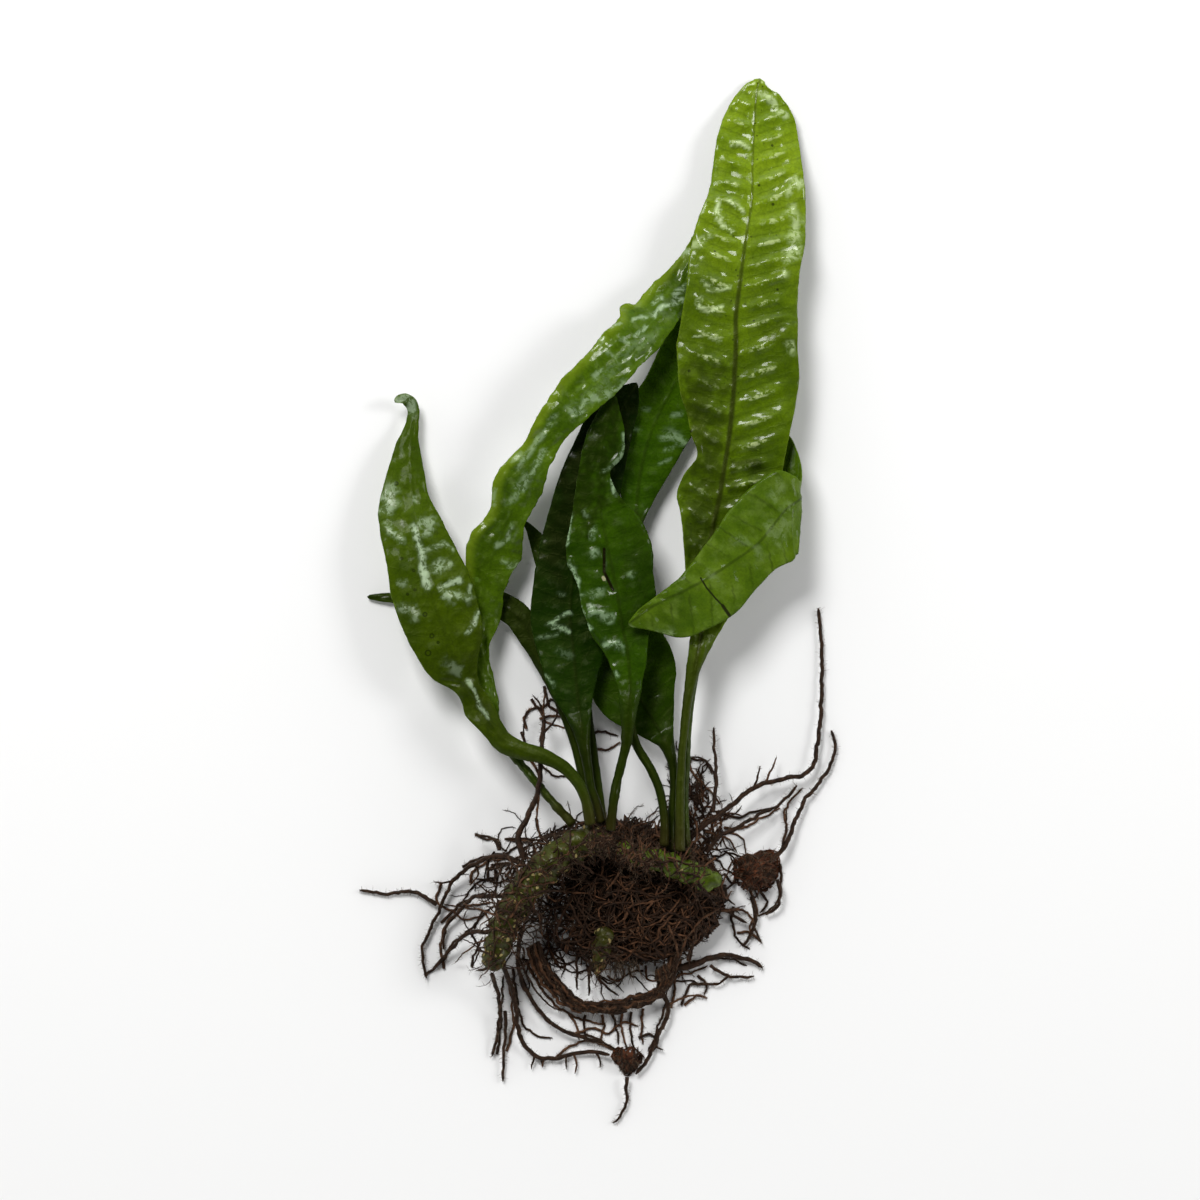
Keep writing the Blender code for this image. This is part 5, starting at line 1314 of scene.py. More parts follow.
def felt_core(name, node, shrink_to, shares, drop, voxel, skin):
    """A lumpy core for a tangle, from the solid's own shape drawn in towards a point."""
    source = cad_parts[node]
    piece = source.copy()
    piece.data = source.data.copy()
    piece.name = name
    bpy.context.scene.collection.objects.link(piece)
    piece.data.transform(piece.matrix_world)
    piece.matrix_world = Matrix.Identity(4)
    drawn = Matrix.Translation(Vector(shrink_to) * MM)
    drawn = drawn @ Matrix.Diagonal((*shares, 1.0)) @ Matrix.Translation(-Vector(shrink_to) * MM)
    piece.data.transform(drawn)
    piece.hide_set(False)
    pick(piece)
    weld()
    remesh = piece.modifiers.new("remesh", "REMESH")
    remesh.mode = "VOXEL"
    remesh.voxel_size = voxel * MM
    bpy.ops.object.modifier_apply(modifier=remesh.name)
    roughen(piece, 2.4, drop)
    roughen(piece, 0.9, 0.5 * drop)
    for point in piece.data.vertices:
        point.co.z = max(point.co.z, LOWEST_FELT * MM)
    piece.data.materials.clear()
    piece.data.materials.append(skin)
    piece.data.shade_smooth()
    return piece


# The felt's core is painted near black: partly the dark of matted roots, partly painted shade in the gaps
# between strands.
FELT_AND_SHADE = root_skin("root_felt_and_shade", (11, 8, 6), (38, 27, 20), 0.85)
core = felt_core("root_mat_felt", "root_mat", (27.0, -67.5, 0.0), (0.72, 0.84, 0.84), 3.4, 0.75, FELT_AND_SHADE)
DENSE_ROOTS = 880
SCATTERED_ROOTS = 170
HAIR_CLUMPS = 600
SINKING_ROOTS = 70
FAN_HAIRS = 60
STEM_HAIRS = (260, 60, 90)
FIBRES_SHARE = 0.47
rng = np.random.default_rng(7)
lines = []
for _ in range(DENSE_ROOTS):
    skin_number = PALE if rng.uniform() < 0.35 else CORE
    lines.append((skin_number, wandering_root(rng, True, rng.uniform(0.10, 0.34))))
for _ in range(SCATTERED_ROOTS):
    lines.append((CORE, wandering_root(rng, False, rng.uniform(0.14, 0.28))))
for _ in range(HAIR_CLUMPS):
    host = lines[int(rng.integers(0, DENSE_ROOTS + SCATTERED_ROOTS))][1]
    lines += hairs_on(host[:3], 1.8, 1.1, rng)
# Roots that leave the underside of the stem and sink into the ball.
STEM_LINES = [STEMS["rhizome"][-1], STEMS["rhizome_branch"][-1]]
for k in range(SINKING_ROOTS):
    stations = STEM_LINES[k % 2]
    _, rows = along(stations, count=60)
    row = rows[int(rng.integers(2, 58))]
    foot = (row[0] + rng.normal(0, 3.5), row[1] + rng.normal(-3.5, 3.5), rng.uniform(2.5, 7.5))
    knee = (row[0] + rng.normal(0, 1.6), row[1] + rng.normal(-1.0, 1.6), row[2] - row[3] - 1.0)
    start = (row[0], row[1], row[2] - 0.75 * row[3])
    strand = wiry([start, knee, foot], 0.34, 0.2, 0.9 * k, step=0.9)
    lines += haired(int(rng.integers(0, 2)), strand, 5, 0.9, rng)
# Rootlets that hang out of the ball towards the lower bundle, and a fan of fine hair between them.
MAT_ROOTLETS = [
    [(-3.8, -78.0, 4.4), (-3.0, -79.8, 4.0), (-1.1, -83.9, 3.6), (0.9, -87.3, 3.2), (4.8, -90.3, 3.4)],
    [(-4.8, -80.0, 4.0), (-4.9, -83.9, 3.6), (-4.8, -88.9, 3.4)],
    [(-2.1, -80.0, 4.2), (-2.0, -83.9, 3.8), (-2.1, -90.3, 3.4)],
]
for k, rootlet in enumerate(MAT_ROOTLETS):
    strand = wiry(rootlet, 0.34, 0.24, 2.0 * k)
    lines += haired(CORE, strand, 8, 0.8, rng)
for _ in range(FAN_HAIRS):
    x = rng.uniform(1.1, 8.9)
    top = (x, rng.uniform(-82.0, -80.5), rng.uniform(2.5, 6.0))
    tip = (x + rng.normal(0, 1.5), rng.uniform(-88.0, -84.0), rng.uniform(1.0, 3.5))
    half = tuple((np.array(top) + tip) / 2 + rng.normal(0, 0.5, 3))
    lines.append((FUZZ, wiry([top, half, tip], 0.09, 0.04, rng.uniform(0, 9), step=1.2, wobble=0.3)))
# Short stiff hairs that stand off the stems.
for faces, count in zip(bare_stem_faces, STEM_HAIRS):
    for index in rng.choice(len(faces), count, replace=False):
        middle, outward = faces[int(index)]
        foot = np.array(middle) / MM
        reach = np.array(outward) * rng.uniform(0.3, 0.9) + rng.normal(0, 0.25, 3)
        lines.append((CORE, np.array([[*foot, 0.05], [*(foot + reach), HAIR_THIN]])))
# Loose roots in patches: (middle, half-sizes, how many, length, main direction).
LOOSE_PATCHES = (
    ((-13.0, -62.0), (10.0, 9.0), 60, 9.0, None), ((-21.5, -76.0), (4.5, 9.0), 34, 8.0, None),
    ((8.0, -56.5), (8.5, 4.5), 75, 8.0, None), ((21.5, -46.5), (4.5, 6.5), 80, 7.0, math.radians(100)),
    ((24.0, -54.0), (6.0, 6.0), 55, 8.0, None), ((20.0, -66.5), (10.0, 5.0), 44, 8.0, None),
    ((-13.0, -79.5), (5.0, 4.5), 40, 7.0, math.radians(-60)), ((14.5, -83.0), (5.0, 5.0), 34, 7.0, None),
    ((1.0, -82.0), (9.0, 4.0), 34, 7.0, None), ((-24.0, -66.0), (7.0, 9.0), 26, 9.0, None),
    ((1.5, -54.0), (5.0, 2.6), 34, 6.0, None), ((-19.5, -70.0), (4.0, 10.0), 30, 7.0, math.radians(60)),
    ((8.5, -58.0), (5.0, 3.0), 34, 6.0, None), ((2.5, -60.5), (6.5, 3.0), 36, 6.0, None),
)
beneath = [tree_of(piece) for piece in (core, *stems)]
for centre, halves, count, length, course in LOOSE_PATCHES:
    for _ in range(count):
        path = strewn(rng, centre, halves, length, course)
        thick = rng.uniform(0.10, 0.30)
        strand = laid_over(path, thick, 0.5 * thick, beneath, rng.uniform(0.5, 1.6), rng.uniform(0, 9))
        lines += haired(PALE if rng.uniform() < 0.3 else CORE, strand, 1.6, 0.9, rng)
inner = int(FIBRES_SHARE * len(lines))
fibres = strands("root_mat_fibres", lines[:inner])
loose = strands("root_mat_loose_roots", lines[inner:])
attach(loose, "root")
mat = merged("root_mat_fibres", [fibres, core])
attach(mat, "root")
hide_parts("root_mat")

# The two knots further out are matted wads of root hair, redder than the ball. The larger is combed
# up to the right, and loose strands lie combed over both, within their outlines.

# A knot is (middle, half-sizes, strands in its core, strands combed over it, direction of the comb).
TUFTS = {
    "root_tuft": ((35.8, -62.0, 3.6), (5.4, 5.0, 3.1), 55, 240, math.radians(40)),
    "root_knot": ((7.0, -104.6, 2.2), (3.9, 3.2, 1.5), 34, 130, math.radians(-100)),
}
# How far each reaches at every eighth of a turn from the right, in shares of its half-sizes.
TUFT_OUTLINES = {
    "root_tuft": (1.0, 1.25, 0.72, 1.0, 1.1, 0.9, 1.18, 0.92, 1.0),
    "root_knot": (0.95, 0.95, 0.7, 0.95, 1.0, 0.72, 1.35, 0.72, 0.95),
}
TUFT_FELT = root_skin("tuft_felt", (16, 8, 5), (48, 26, 15), 0.85)
TUFT_STRAND = root_skin("tuft_strand", (32, 15, 9), (90, 50, 30), 0.6)
for number, (name, (centre, halves, count, combed, course)) in enumerate(TUFTS.items()):
    rng = np.random.default_rng(40 + number)
    core = felt_core(name + "_felt", name, centre, (0.62, 0.62, 0.7), 1.6, 0.45, TUFT_FELT)
    beneath = [tree_of(core)]
    lines = []
    for _ in range(count):
        out = unit(rng.normal(size=3))
        out[2] = abs(out[2]) if rng.uniform() < 0.7 else out[2]
        start = np.array(centre) + out * halves * 0.4
        half = np.array(centre) + out * halves * 0.75 + rng.normal(0, 0.5, 3)
        end = np.array(centre) + out * halves * rng.uniform(0.6, 0.85) + rng.normal(0, 0.5, 3)
        thick = rng.uniform(0.06, 0.16)
        strand = wiry([tuple(start), tuple(half), tuple(end)], thick, 0.05, rng.uniform(0, 9), step=0.9)
        lines += haired(int(rng.integers(0, 2)), strand, 2, 0.7, rng)
    for _ in range(combed):
        path = strewn(rng, centre[:2], 0.9 * np.array(halves[:2]), 1.1 * halves[0], course)
        from_middle = (np.array(path) - centre[:2]) / halves[:2]
        turned = np.arctan2(from_middle[:, 1], from_middle[:, 0]) % (2 * math.pi)
        reach = np.interp(turned, np.linspace(0, 2 * math.pi, 9), TUFT_OUTLINES[name])
        beyond = np.linalg.norm(from_middle, axis=1) / (reach * rng.uniform(0.85, 1.12))
        path = np.array(centre[:2]) + from_middle / np.maximum(1.0, beyond)[:, None] * halves[:2]
        thick = rng.uniform(0.12, 0.3)
        strand = laid_over(path, thick, 0.4 * thick, beneath, rng.uniform(0.6, 1.5), rng.uniform(0, 9))
        lines += haired(PALE if rng.uniform() < 0.6 else CORE, strand, 1.2, 0.8, rng)
    fibres = strands(name + "_hair", lines)
    fibres.data.materials[PALE] = TUFT_STRAND
    knot = merged(name + "_hair", [fibres, core])
    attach(knot, "root")
    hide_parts(name)

# The long roots are dark, wiry, red-brown strands. A fuzz of fine root hair stands round each, and
# short rootlets branch off. They leave the underside of the stem and run out over the surface, tied
# to each other by a web of finer roots.

# A root is (radius at its start, radius at its end, points, rootlets that branch off it).
ROOTS = {
    "root_left_main": (0.75, 0.5, [
        (-16.8, -59.7, 12.2), (-22.4, -57.9, 8.4), (-28.3, -59.9, 5.0), (-33.4, -64.0, 2.7),
        (-36.3, -70.2, 1.7), (-39.3, -76.6, 1.3), (-40.5, -79.6, 1.1), (-40.3, -82.5, 1.0),
        (-39.5, -86.4, 0.9),
    ], [
        [(-33.2, -63.9, 2.8), (-35.6, -64.3, 2.2), (-37.9, -64.2, 1.4)],
        [(-28.3, -59.9, 5.0), (-27.4, -62.2, 4.2), (-29.5, -64.9, 3.0)],
        [(-25.1, -58.4, 6.6), (-25.1, -61.3, 5.8), (-22.4, -60.6, 6.0), (-23.8, -64.0, 5.2)],
    ]),
    "root_left_reaching": (0.6, 0.4, [
        (-37.1, -69.4, 1.7), (-40.0, -67.6, 1.3), (-42.5, -66.5, 1.1), (-48.5, -67.0, 0.9),
        (-52.0, -66.6, 0.8), (-54.9, -66.1, 0.8),
    ], []),
    "root_left_lower": (0.65, 0.45, [
        (-24.7, -75.1, 10.05), (-30.4, -76.1, 5.2), (-33.4, -79.1, 2.8), (-36.0, -82.0, 1.6),
        (-37.8, -84.0, 1.0),
    ], [[(-29.0, -75.9, 6.2), (-27.4, -79.3, 4.4), (-29.0, -84.1, 2.4)]]),
    "root_left_middle": (0.6, 0.4, [
        (-21.5, -67.0, 10.85), (-26.1, -67.2, 6.6), (-29.0, -67.8, 4.0), (-31.5, -70.6, 2.6),
        (-34.1, -73.2, 1.8), (-35.4, -76.2, 1.3), (-35.6, -79.8, 0.9),
    ], []),
    "root_left_hook": (0.5, 0.35, [
        (-22.6, -56.5, 8.6), (-23.4, -54.6, 7.4), (-25.6, -53.5, 5.6), (-28.3, -53.3, 4.4),
    ], []),
    "root_rising": (0.85, 0.5, [
        (-16.6, -58.6, 13.7), (-18.2, -53.3, 13.3), (-16.6, -49.8, 12.9), (-14.9, -46.2, 12.6),
        (-13.7, -43.0, 12.4), (-13.2, -38.6, 11.7), (-12.9, -34.5, 10.2), (-12.6, -30.5, 7.8),
        (-12.3, -26.4, 5.2),
    ], [
        [(-12.5, -25.6, 5.0), (-13.5, -24.0, 5.0), (-16.0, -24.9, 5.0), (-17.1, -30.9, 5.0)],
        [(-12.3, -27.2, 5.6), (-8.5, -28.5, 5.5), (-5.7, -29.2, 5.5)],
        [(-12.3, -26.4, 5.2), (-13.0, -23.8, 4.7), (-15.1, -21.0, 4.5)],
        [(-12.3, -26.4, 5.2), (-12.6, -24.0, 4.8), (-11.9, -19.4, 4.4)],
        [(-12.5, -30.0, 7.4), (-9.4, -25.6, 5.8), (-9.4, -22.6, 5.4)],
        [(-13.5, -43.4, 12.4), (-13.9, -48.7, 12.6), (-13.3, -53.3, 12.8)],
        [(-21.3, -53.9, 12.2), (-17.8, -53.7, 13.2), (-13.5, -54.0, 13.2), (-7.1, -51.9, 12.8)],
    ]),
    "root_right_longest": (0.75, 0.45, [
        (19.6, -55.0, 6.1), (24.4, -51.0, 6.4), (28.2, -48.2, 6.0), (32.0, -45.3, 5.2),
        (35.4, -42.6, 4.4), (39.3, -41.2, 3.7), (43.7, -40.2, 3.1), (48.2, -39.0, 2.5),
        (49.8, -36.6, 2.2), (50.4, -32.9, 2.0), (51.1, -28.0, 1.7), (51.5, -20.0, 1.3),
        (51.4, -8.5, 1.0), (50.7, -1.2, 0.8),
    ], [
        [(35.8, -42.3, 4.3), (36.8, -39.8, 3.4), (37.3, -37.5, 2.6)],
        [(38.4, -41.5, 3.8), (39.9, -38.2, 3.2), (41.1, -35.4, 2.5)],
    ]),
    "root_right_outer": (0.65, 0.4, [
        (39.8, -59.3, 3.4), (43.4, -55.3, 2.9), (44.6, -51.9, 2.5), (45.9, -48.9, 2.1),
        (47.5, -45.5, 1.7), (50.6, -41.8, 1.3), (53.0, -38.3, 1.1), (54.3, -35.2, 1.0),
        (54.6, -32.2, 0.9), (53.7, -29.3, 0.8),
    ], [[(42.3, -56.6, 3.0), (43.2, -51.9, 2.6), (43.4, -47.5, 2.2)]]),
    "root_right_inner": (0.6, 0.4, [
        (24.8, -57.3, 4.4), (28.2, -53.4, 4.4), (31.5, -51.9, 4.2), (35.0, -49.8, 3.8),
        (37.7, -48.3, 3.3), (40.7, -47.0, 2.8), (43.4, -44.8, 2.3), (45.8, -42.0, 1.7),
    ], []),
    "root_right_upright": (0.6, 0.35, [
        (26.2, -47.9, 6.9), (26.9, -43.6, 6.4), (27.1, -38.6, 5.2), (26.7, -32.9, 3.6),
        (26.6, -28.6, 2.6),
    ], [[(27.0, -41.8, 6.0), (26.1, -37.9, 6.0), (24.0, -35.7, 5.8), (21.5, -35.2, 5.6)]]),
    "root_right_loop": (0.5, 0.4, [
        (41.2, -63.6, 3.0), (42.0, -67.2, 2.4), (40.9, -70.2, 1.8), (38.6, -71.8, 1.2),
    ], []),
    "root_right_down": (0.55, 0.4, [
        (35.3, -67.5, 2.8), (36.1, -71.0, 2.1), (35.9, -74.6, 1.6), (34.6, -77.4, 1.2),
        (33.2, -79.0, 1.0),
    ], [[(35.9, -74.6, 1.6), (36.8, -76.4, 1.2), (37.7, -78.4, 0.8)]]),
    "root_right_arch": (0.5, 0.4, [
        (29.0, -70.5, 3.4), (30.2, -70.9, 2.9), (31.6, -72.2, 2.3), (34.2, -73.6, 1.6),
    ], []),
    "root_lower_right": (0.95, 0.5, [
        (17.0, -83.3, 2.6), (18.9, -83.9, 2.5), (22.0, -83.2, 2.3), (24.9, -82.1, 2.1),
        (27.9, -81.1, 1.9), (32.5, -81.6, 1.5), (35.7, -82.5, 1.1), (37.9, -84.0, 0.9),
    ], [[(20.8, -83.4, 2.6), (21.5, -80.2, 3.0), (22.4, -76.4, 4.0), (22.2, -72.5, 5.4)]]),
    "root_lower_right_fork": (0.5, 0.35, [
        (25.8, -83.4, 1.8), (28.6, -85.3, 1.5), (32.5, -86.2, 1.2), (35.9, -86.0, 0.9),
    ], [[(30.2, -85.8, 1.4), (27.7, -87.6, 1.2), (24.4, -87.9, 0.9), (21.3, -87.8, 0.8)]]),
    "root_lower_bundle": (1.5, 1.2, [
        (-15.0, -78.4, 4.6), (-13.8, -81.9, 4.6), (-11.7, -85.8, 4.4), (-9.1, -88.8, 3.8),
        (-6.6, -91.4, 3.4), (-3.4, -92.9, 3.1), (0.7, -93.3, 3.0), (6.2, -92.6, 3.0),
        (10.5, -91.2, 3.1), (13.8, -89.2, 3.4), (15.2, -86.4, 4.4), (14.6, -83.4, 5.2),
    ], []),
    "root_lower_left": (0.7, 0.55, [
        (-21.9, -82.4, 9.6), (-19.6, -89.4, 4.6), (-18.8, -93.7, 3.0), (-18.1, -99.2, 2.0),
        (-16.0, -102.9, 1.6), (-13.3, -104.7, 1.4), (-10.3, -104.9, 1.3), (-7.1, -104.2, 1.2),
        (-3.4, -103.4, 1.3), (-0.5, -103.4, 1.5), (2.7, -104.0, 2.0),
    ], [
        [(-14.6, -104.0, 1.5), (-15.0, -105.8, 1.1), (-15.3, -107.4, 0.8)],
        [(-12.2, -104.8, 1.4), (-12.7, -106.0, 1.1), (-12.8, -107.0, 0.8)],
        [(-7.1, -104.2, 1.2), (-7.4, -105.9, 1.0), (-7.3, -107.4, 0.8)],
        [(-5.6, -103.9, 1.2), (-5.0, -106.0, 1.0), (-5.3, -108.4, 0.8)],
        [(-0.6, -103.4, 1.5), (0.4, -105.2, 1.1), (0.5, -107.0, 0.8)],
    ]),
    "root_lower_outer": (0.6, 0.4, [
        (-24.3, -84.7, 10.6), (-23.6, -87.2, 6.8), (-22.6, -92.0, 3.8), (-22.8, -96.5, 2.2),
        (-23.4, -100.6, 1.4), (-24.4, -104.4, 0.9),
    ], []),
    "root_lower_straight": (0.5, 0.35, [
        (-21.4, -93.8, 2.8), (-21.2, -97.8, 2.0), (-21.6, -102.0, 1.4), (-21.8, -106.0, 1.1),
        (-21.9, -110.2, 0.8),
    ], []),
    "root_lower_inner": (0.6, 0.5, [
        (-17.2, -74.0, 4.6), (-18.4, -80.6, 4.6), (-17.4, -87.4, 3.9), (-15.1, -91.4, 3.2),
        (-12.6, -94.9, 2.6), (-9.1, -97.8, 2.2), (-5.5, -99.4, 2.0), (-2.1, -100.4, 1.9),
        (1.2, -101.2, 2.0),
    ], [
        [
            (-18.3, -81.0, 4.6), (-16.0, -86.2, 4.0), (-13.7, -89.8, 3.4), (-11.0, -92.6, 2.6),
            (-8.2, -94.0, 2.0),
        ],
    ]),
    "root_lower_right_side": (0.65, 0.5, [
        (15.1, -90.2, 2.4), (16.2, -92.8, 2.2), (15.4, -96.2, 2.0), (13.9, -99.4, 1.8),
        (12.8, -102.0, 1.7), (11.6, -104.7, 1.6), (10.0, -106.9, 1.5), (8.7, -108.5, 1.4),
    ], [
        [(12.9, -101.6, 1.7), (13.9, -102.4, 1.4), (15.0, -102.9, 1.0)],
        [(16.1, -92.4, 2.2), (19.4, -91.0, 1.6), (22.2, -90.3, 1.0), (24.9, -91.0, 0.8)],
    ]),
    "root_lowest": (0.55, 0.3, [
        (6.7, -109.1, 1.95), (6.5, -112.4, 1.5), (6.6, -114.4, 1.2), (5.9, -116.8, 1.0),
        (4.8, -118.6, 0.8), (3.4, -119.8, 0.7),
    ], []),
}
# The web, seen from above, by the root it belongs to.
WEB = {
    "root_rising": [
        [(-15.4, -22.1), (-13.5, -24.4), (-10.5, -22.1), (-8.9, -24.4)],
        [(-16.5, -29.0), (-16.9, -25.9), (-14.2, -24.0), (-12.6, -26.7), (-13.5, -32.0)],
        [(-12.4, -19.1), (-11.6, -22.9), (-6.7, -27.5), (-5.9, -29.4)],
        [(-13.5, -26.7), (-9.7, -25.9), (-5.9, -27.5)],
        [(-17.7, -29.7), (-16.5, -32.8), (-13.5, -36.6), (-10.5, -39.6), (-6.7, -40.0)],
        [(-16.5, -35.0), (-14.2, -38.1), (-13.5, -42.6), (-15.4, -46.4)],
        [(-2.9, -30.9), (0.9, -29.7), (4.7, -30.6)], [(-1.4, -33.5), (1.7, -33.9), (5.1, -32.0)],
        [(-14.2, -49.4), (-13.1, -53.2), (-10.5, -53.2), (-5.9, -51.3)],
    ],
    "root_left_hook": [
        [(-28.3, -53.2), (-25.6, -54.4), (-23.0, -54.8), (-22.4, -57.0)],
        [(-21.1, -54.4), (-16.5, -54.8), (-12.0, -54.0)],
        [(-31.3, -60.8), (-26.4, -58.5), (-21.8, -57.8), (-16.5, -54.8)],
        [(-29.4, -64.6), (-28.7, -61.6), (-26.4, -60.1), (-19.6, -58.5)],
        [(-24.5, -60.1), (-23.3, -63.1), (-24.9, -64.0), (-25.2, -61.2), (-21.1, -60.1), (-19.6, -63.1)],
    ],
    "root_left_middle": [
        [(-36.2, -73.7), (-33.2, -70.7), (-28.7, -67.6), (-25.6, -66.9)],
        [(-35.5, -84.3), (-36.2, -78.3), (-34.7, -73.7), (-30.2, -69.9), (-24.9, -69.2)],
        [(-40.0, -85.8), (-36.2, -82.8), (-33.2, -78.3), (-28.7, -74.5), (-26.4, -70.7)],
        [(-36.2, -64.6), (-37.0, -69.2), (-34.0, -70.7), (-30.9, -72.9), (-27.1, -72.2)],
        [(-29.0, -83.6), (-28.3, -80.5), (-26.4, -76.7)],
    ],
    "root_lower_straight": [
        [(-23.3, -104.0), (-22.6, -99.5), (-22.2, -91.9), (-21.8, -85.8)],
        [(-21.1, -103.3), (-19.6, -98.0), (-19.9, -91.9), (-21.1, -84.3)],
        [(-19.6, -84.3), (-18.8, -90.4), (-16.5, -98.0), (-13.5, -99.9), (-10.5, -100.2)],
    ],
    "root_lower_inner": [
        [(-18.8, -82.8), (-16.5, -88.9), (-12.7, -94.9), (-7.4, -98.7), (-0.6, -100.2), (4.7, -103.3)],
        [(-16.5, -82.8), (-13.5, -88.1), (-9.7, -92.7), (-4.4, -95.7), (1.7, -97.2)],
        [(-17.7, -82.0), (-12.7, -83.6), (-10.5, -88.1), (-5.9, -92.7)],
        [(-6.7, -94.6), (-4.8, -98.0), (-4.4, -100.6)], [(-2.9, -94.9), (-3.3, -98.0), (-2.5, -100.2)],
        [(0.9, -94.9), (1.3, -98.0), (0.5, -101.0)], [(3.2, -94.6), (4.3, -98.0), (4.7, -101.8)],
        [(5.5, -94.2), (5.5, -98.7), (6.6, -102.5)], [(7.7, -94.2), (7.4, -98.0), (8.5, -103.3)],
        [(10.4, -93.4), (10.0, -98.0), (10.4, -101.8)],
        [(15.7, -92.3), (14.2, -96.5), (13.0, -100.2), (11.5, -103.3)],
        [(-5.9, -99.5), (-1.4, -98.0), (2.4, -99.1), (6.2, -96.5), (9.3, -97.6)],
    ],
    "root_lower_left": [
        [(-13.1, -104.8), (-12.6, -106.7)],
        [(-9.7, -104.8), (-5.9, -101.8), (-1.4, -101.0), (4.0, -103.3)],
        [(9.3, -100.2), (12.3, -99.5), (13.8, -101.8), (11.5, -104.0)],
    ],
    "root_lower_right": [
        [(18.4, -84.3), (21.4, -82.8), (25.9, -82.0), (30.5, -82.0), (34.3, -83.6)],
        [(16.8, -93.4), (17.6, -89.6), (18.4, -85.8), (22.1, -85.1), (25.2, -83.6)],
        [(19.1, -92.7), (21.4, -88.1), (24.4, -87.7), (27.8, -87.7)],
        [(19.9, -92.7), (22.9, -90.4), (25.2, -91.1)], [(22.9, -85.8), (25.2, -88.1), (24.4, -90.4)],
        [(17.6, -85.1), (19.1, -79.8), (21.4, -75.2), (25.2, -71.4), (28.2, -69.9)],
        [(20.6, -82.0), (21.8, -77.5), (22.9, -73.7)],
        [(16.1, -73.7), (17.2, -76.7), (18.4, -79.8), (17.2, -84.3)],
    ],
    "root_right_down": [
        [(41.9, -60.1), (42.2, -64.6), (40.7, -69.9), (36.6, -72.2)],
        [(35.0, -66.1), (36.6, -70.7), (35.0, -75.2), (37.7, -78.3)],
        [(31.2, -69.9), (30.9, -73.7), (32.8, -78.3), (35.0, -79.8)],
        [(28.2, -70.7), (31.2, -70.7), (33.5, -70.7), (35.8, -73.7), (35.0, -77.5)],
        [(37.3, -66.1), (38.8, -69.2), (37.3, -71.4)], [(32.0, -76.0), (35.0, -76.0), (37.3, -77.5)],
    ],
    "root_right_inner": [
        [(29.0, -62.3), (31.2, -64.6), (32.0, -61.6), (30.5, -58.5)],
        [(29.0, -51.7), (32.0, -52.1), (36.6, -50.2), (41.9, -47.2)],
        [(27.5, -47.9), (32.0, -49.4), (36.6, -47.9), (40.3, -47.2)],
        [(42.6, -55.5), (43.4, -51.7), (43.0, -47.9), (47.2, -42.6)],
    ],
    "root_right_upright": [
        [(19.9, -32.0), (21.4, -35.8), (24.4, -36.2), (26.3, -39.6)],
        [(20.3, -32.8), (22.1, -39.6), (25.2, -42.6), (28.2, -46.4)],
    ],
}
CORE_SHARE = 0.85
HAIRS_PER_MM = 13
BUNDLE_STRANDS = 15
JOINING_STRANDS = range(11, 22)
BUNDLE_END = (
    (17.4, -80.5, 4.6), (16.4, -86.0, 4.2), (14.0, -89.4, 3.9), (9.0, -91.2, 3.7), (3.0, -92.7, 3.5),
    (-3.5, -92.0, 3.5),
)
beneath = [tree_of(piece) for piece in (mat, *stems)]
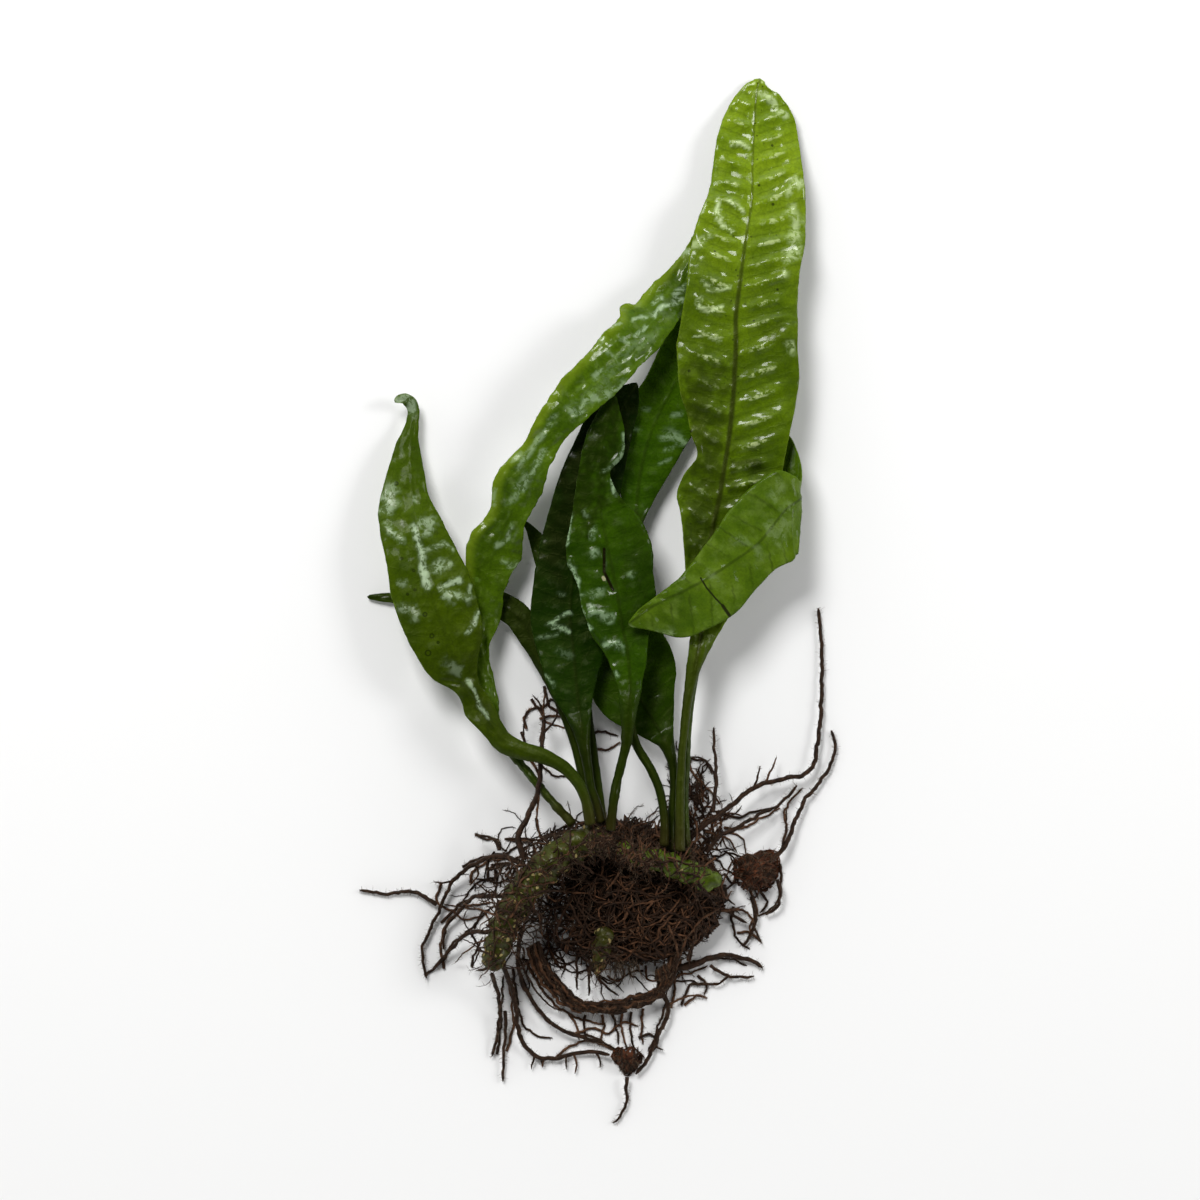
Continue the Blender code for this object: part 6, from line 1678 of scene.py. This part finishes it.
for number, (name, (thick, thin, points, rootlets)) in enumerate(ROOTS.items()):
    rng = np.random.default_rng(100 + number)
    lines = []
    if name == "root_lower_bundle":
        for k in range(BUNDLE_STRANDS):
            strand = wiry(points, rng.uniform(0.3, 0.5), rng.uniform(0.2, 0.35), 3.1 * k, wobble=0.55)
            spin = 2 * math.pi * k / BUNDLE_STRANDS + np.linspace(0, 2.5, len(strand))
            spread = rng.uniform(0.7, 1.5)
            strand[:, 0] += spread * np.cos(spin)
            strand[:, 1] += 0.6 * spread * np.cos(spin)
            strand[:, 2] += 0.9 * np.sin(spin)
            lines += haired(int(k % 3 == 0), strand, 2.5, 1.1, rng)
        # More roots come down from the ball on the right and join the bundle.
        for k in JOINING_STRANDS:
            moved = np.array(BUNDLE_END) + (*rng.normal(0, 0.35, 2), 0.3 * rng.normal())
            moved[:-1, :2] += rng.uniform(-1.5, 1.5) * np.array((0.5, 1.0))
            strand = wiry(moved, rng.uniform(0.25, 0.42), rng.uniform(0.2, 0.3), 2.3 * k, wobble=0.5)
            lines += haired(int(k % 3 == 0), strand, 2.5, 1.0, rng)
    else:
        strand = wiry(points, CORE_SHARE * thick, CORE_SHARE * thin, 0.7 * number)
        lines += haired(CORE, strand, HAIRS_PER_MM, 0.85, rng)
    for k, path in enumerate(WEB.get(name, [])):
        strand = laid_over(path, 0.34, 0.22, beneath, rng.uniform(0.35, 1.2), 1.7 * number + k)
        lines += haired(k % 2, strand, 7, 0.75, rng)
    for k, rootlet in enumerate(rootlets):
        strand = wiry(rootlet, 0.30, 0.16, 1.3 * number + k, step=0.7, wobble=0.16)
        lines += haired(k % 2, strand, 7, 0.7, rng)
    piece = strands(name + "_strand", lines)
    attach(piece, "root")
    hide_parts(name)

# The stage: a pale matt surface under a large soft light, with a bright horizon all round.

FLOOR_SIZE = 4.0
bpy.ops.mesh.primitive_plane_add(size=FLOOR_SIZE)
floor = bpy.context.object
floor.name = "floor"
paper, _, shader = fresh_skin("pale_surface")
shader["Base Color"].default_value = (0.86, 0.86, 0.855, 1.0)
shader["Roughness"].default_value = 0.9
floor.data.materials.append(paper)

HORIZON_LIGHT = 1.35
ZENITH_LIGHT = 0.05
world = bpy.data.worlds.new("studio")
bpy.context.scene.world = world
world.use_nodes = True
tree = world.node_tree
height = apart(tree, tree.nodes.new("ShaderNodeTexCoord").outputs["Generated"])[2]
sky = ranged(tree, height, 0.1, 0.85, HORIZON_LIGHT, ZENITH_LIGHT)
backdrop = tree.nodes["Background"]
feed(tree, backdrop.inputs["Color"], (1.0, 1.0, 1.0, 1.0))
feed(tree, backdrop.inputs["Strength"], sky)


def softbox(name, place, size, strength):
    """A square light that points at the middle of the plant."""
    bpy.ops.object.light_add(type="AREA", location=place)
    lamp = bpy.context.object
    lamp.name = name
    lamp.data.size = size
    lamp.data.energy = strength
    lamp.rotation_euler = (-Vector(place)).to_track_quat("-Z", "Y").to_euler()


softbox("key_light", (-0.45, 0.85, 1.15), 0.55, 19.0)
softbox("side_light", (0.95, 0.25, 0.75), 0.35, 4.5)

CAMERA_PLACE = (0.00046, 0.00069, 1.21)
LENS_LENGTH = 157.5
SENSOR_WIDTH = 36.0
bpy.ops.object.camera_add(location=CAMERA_PLACE, rotation=(0.0, 0.0, 0.0))
camera = bpy.context.object
camera.data.lens = LENS_LENGTH
camera.data.sensor_width = SENSOR_WIDTH
bpy.context.scene.camera = camera
bpy.context.scene.view_settings.view_transform = "Standard"
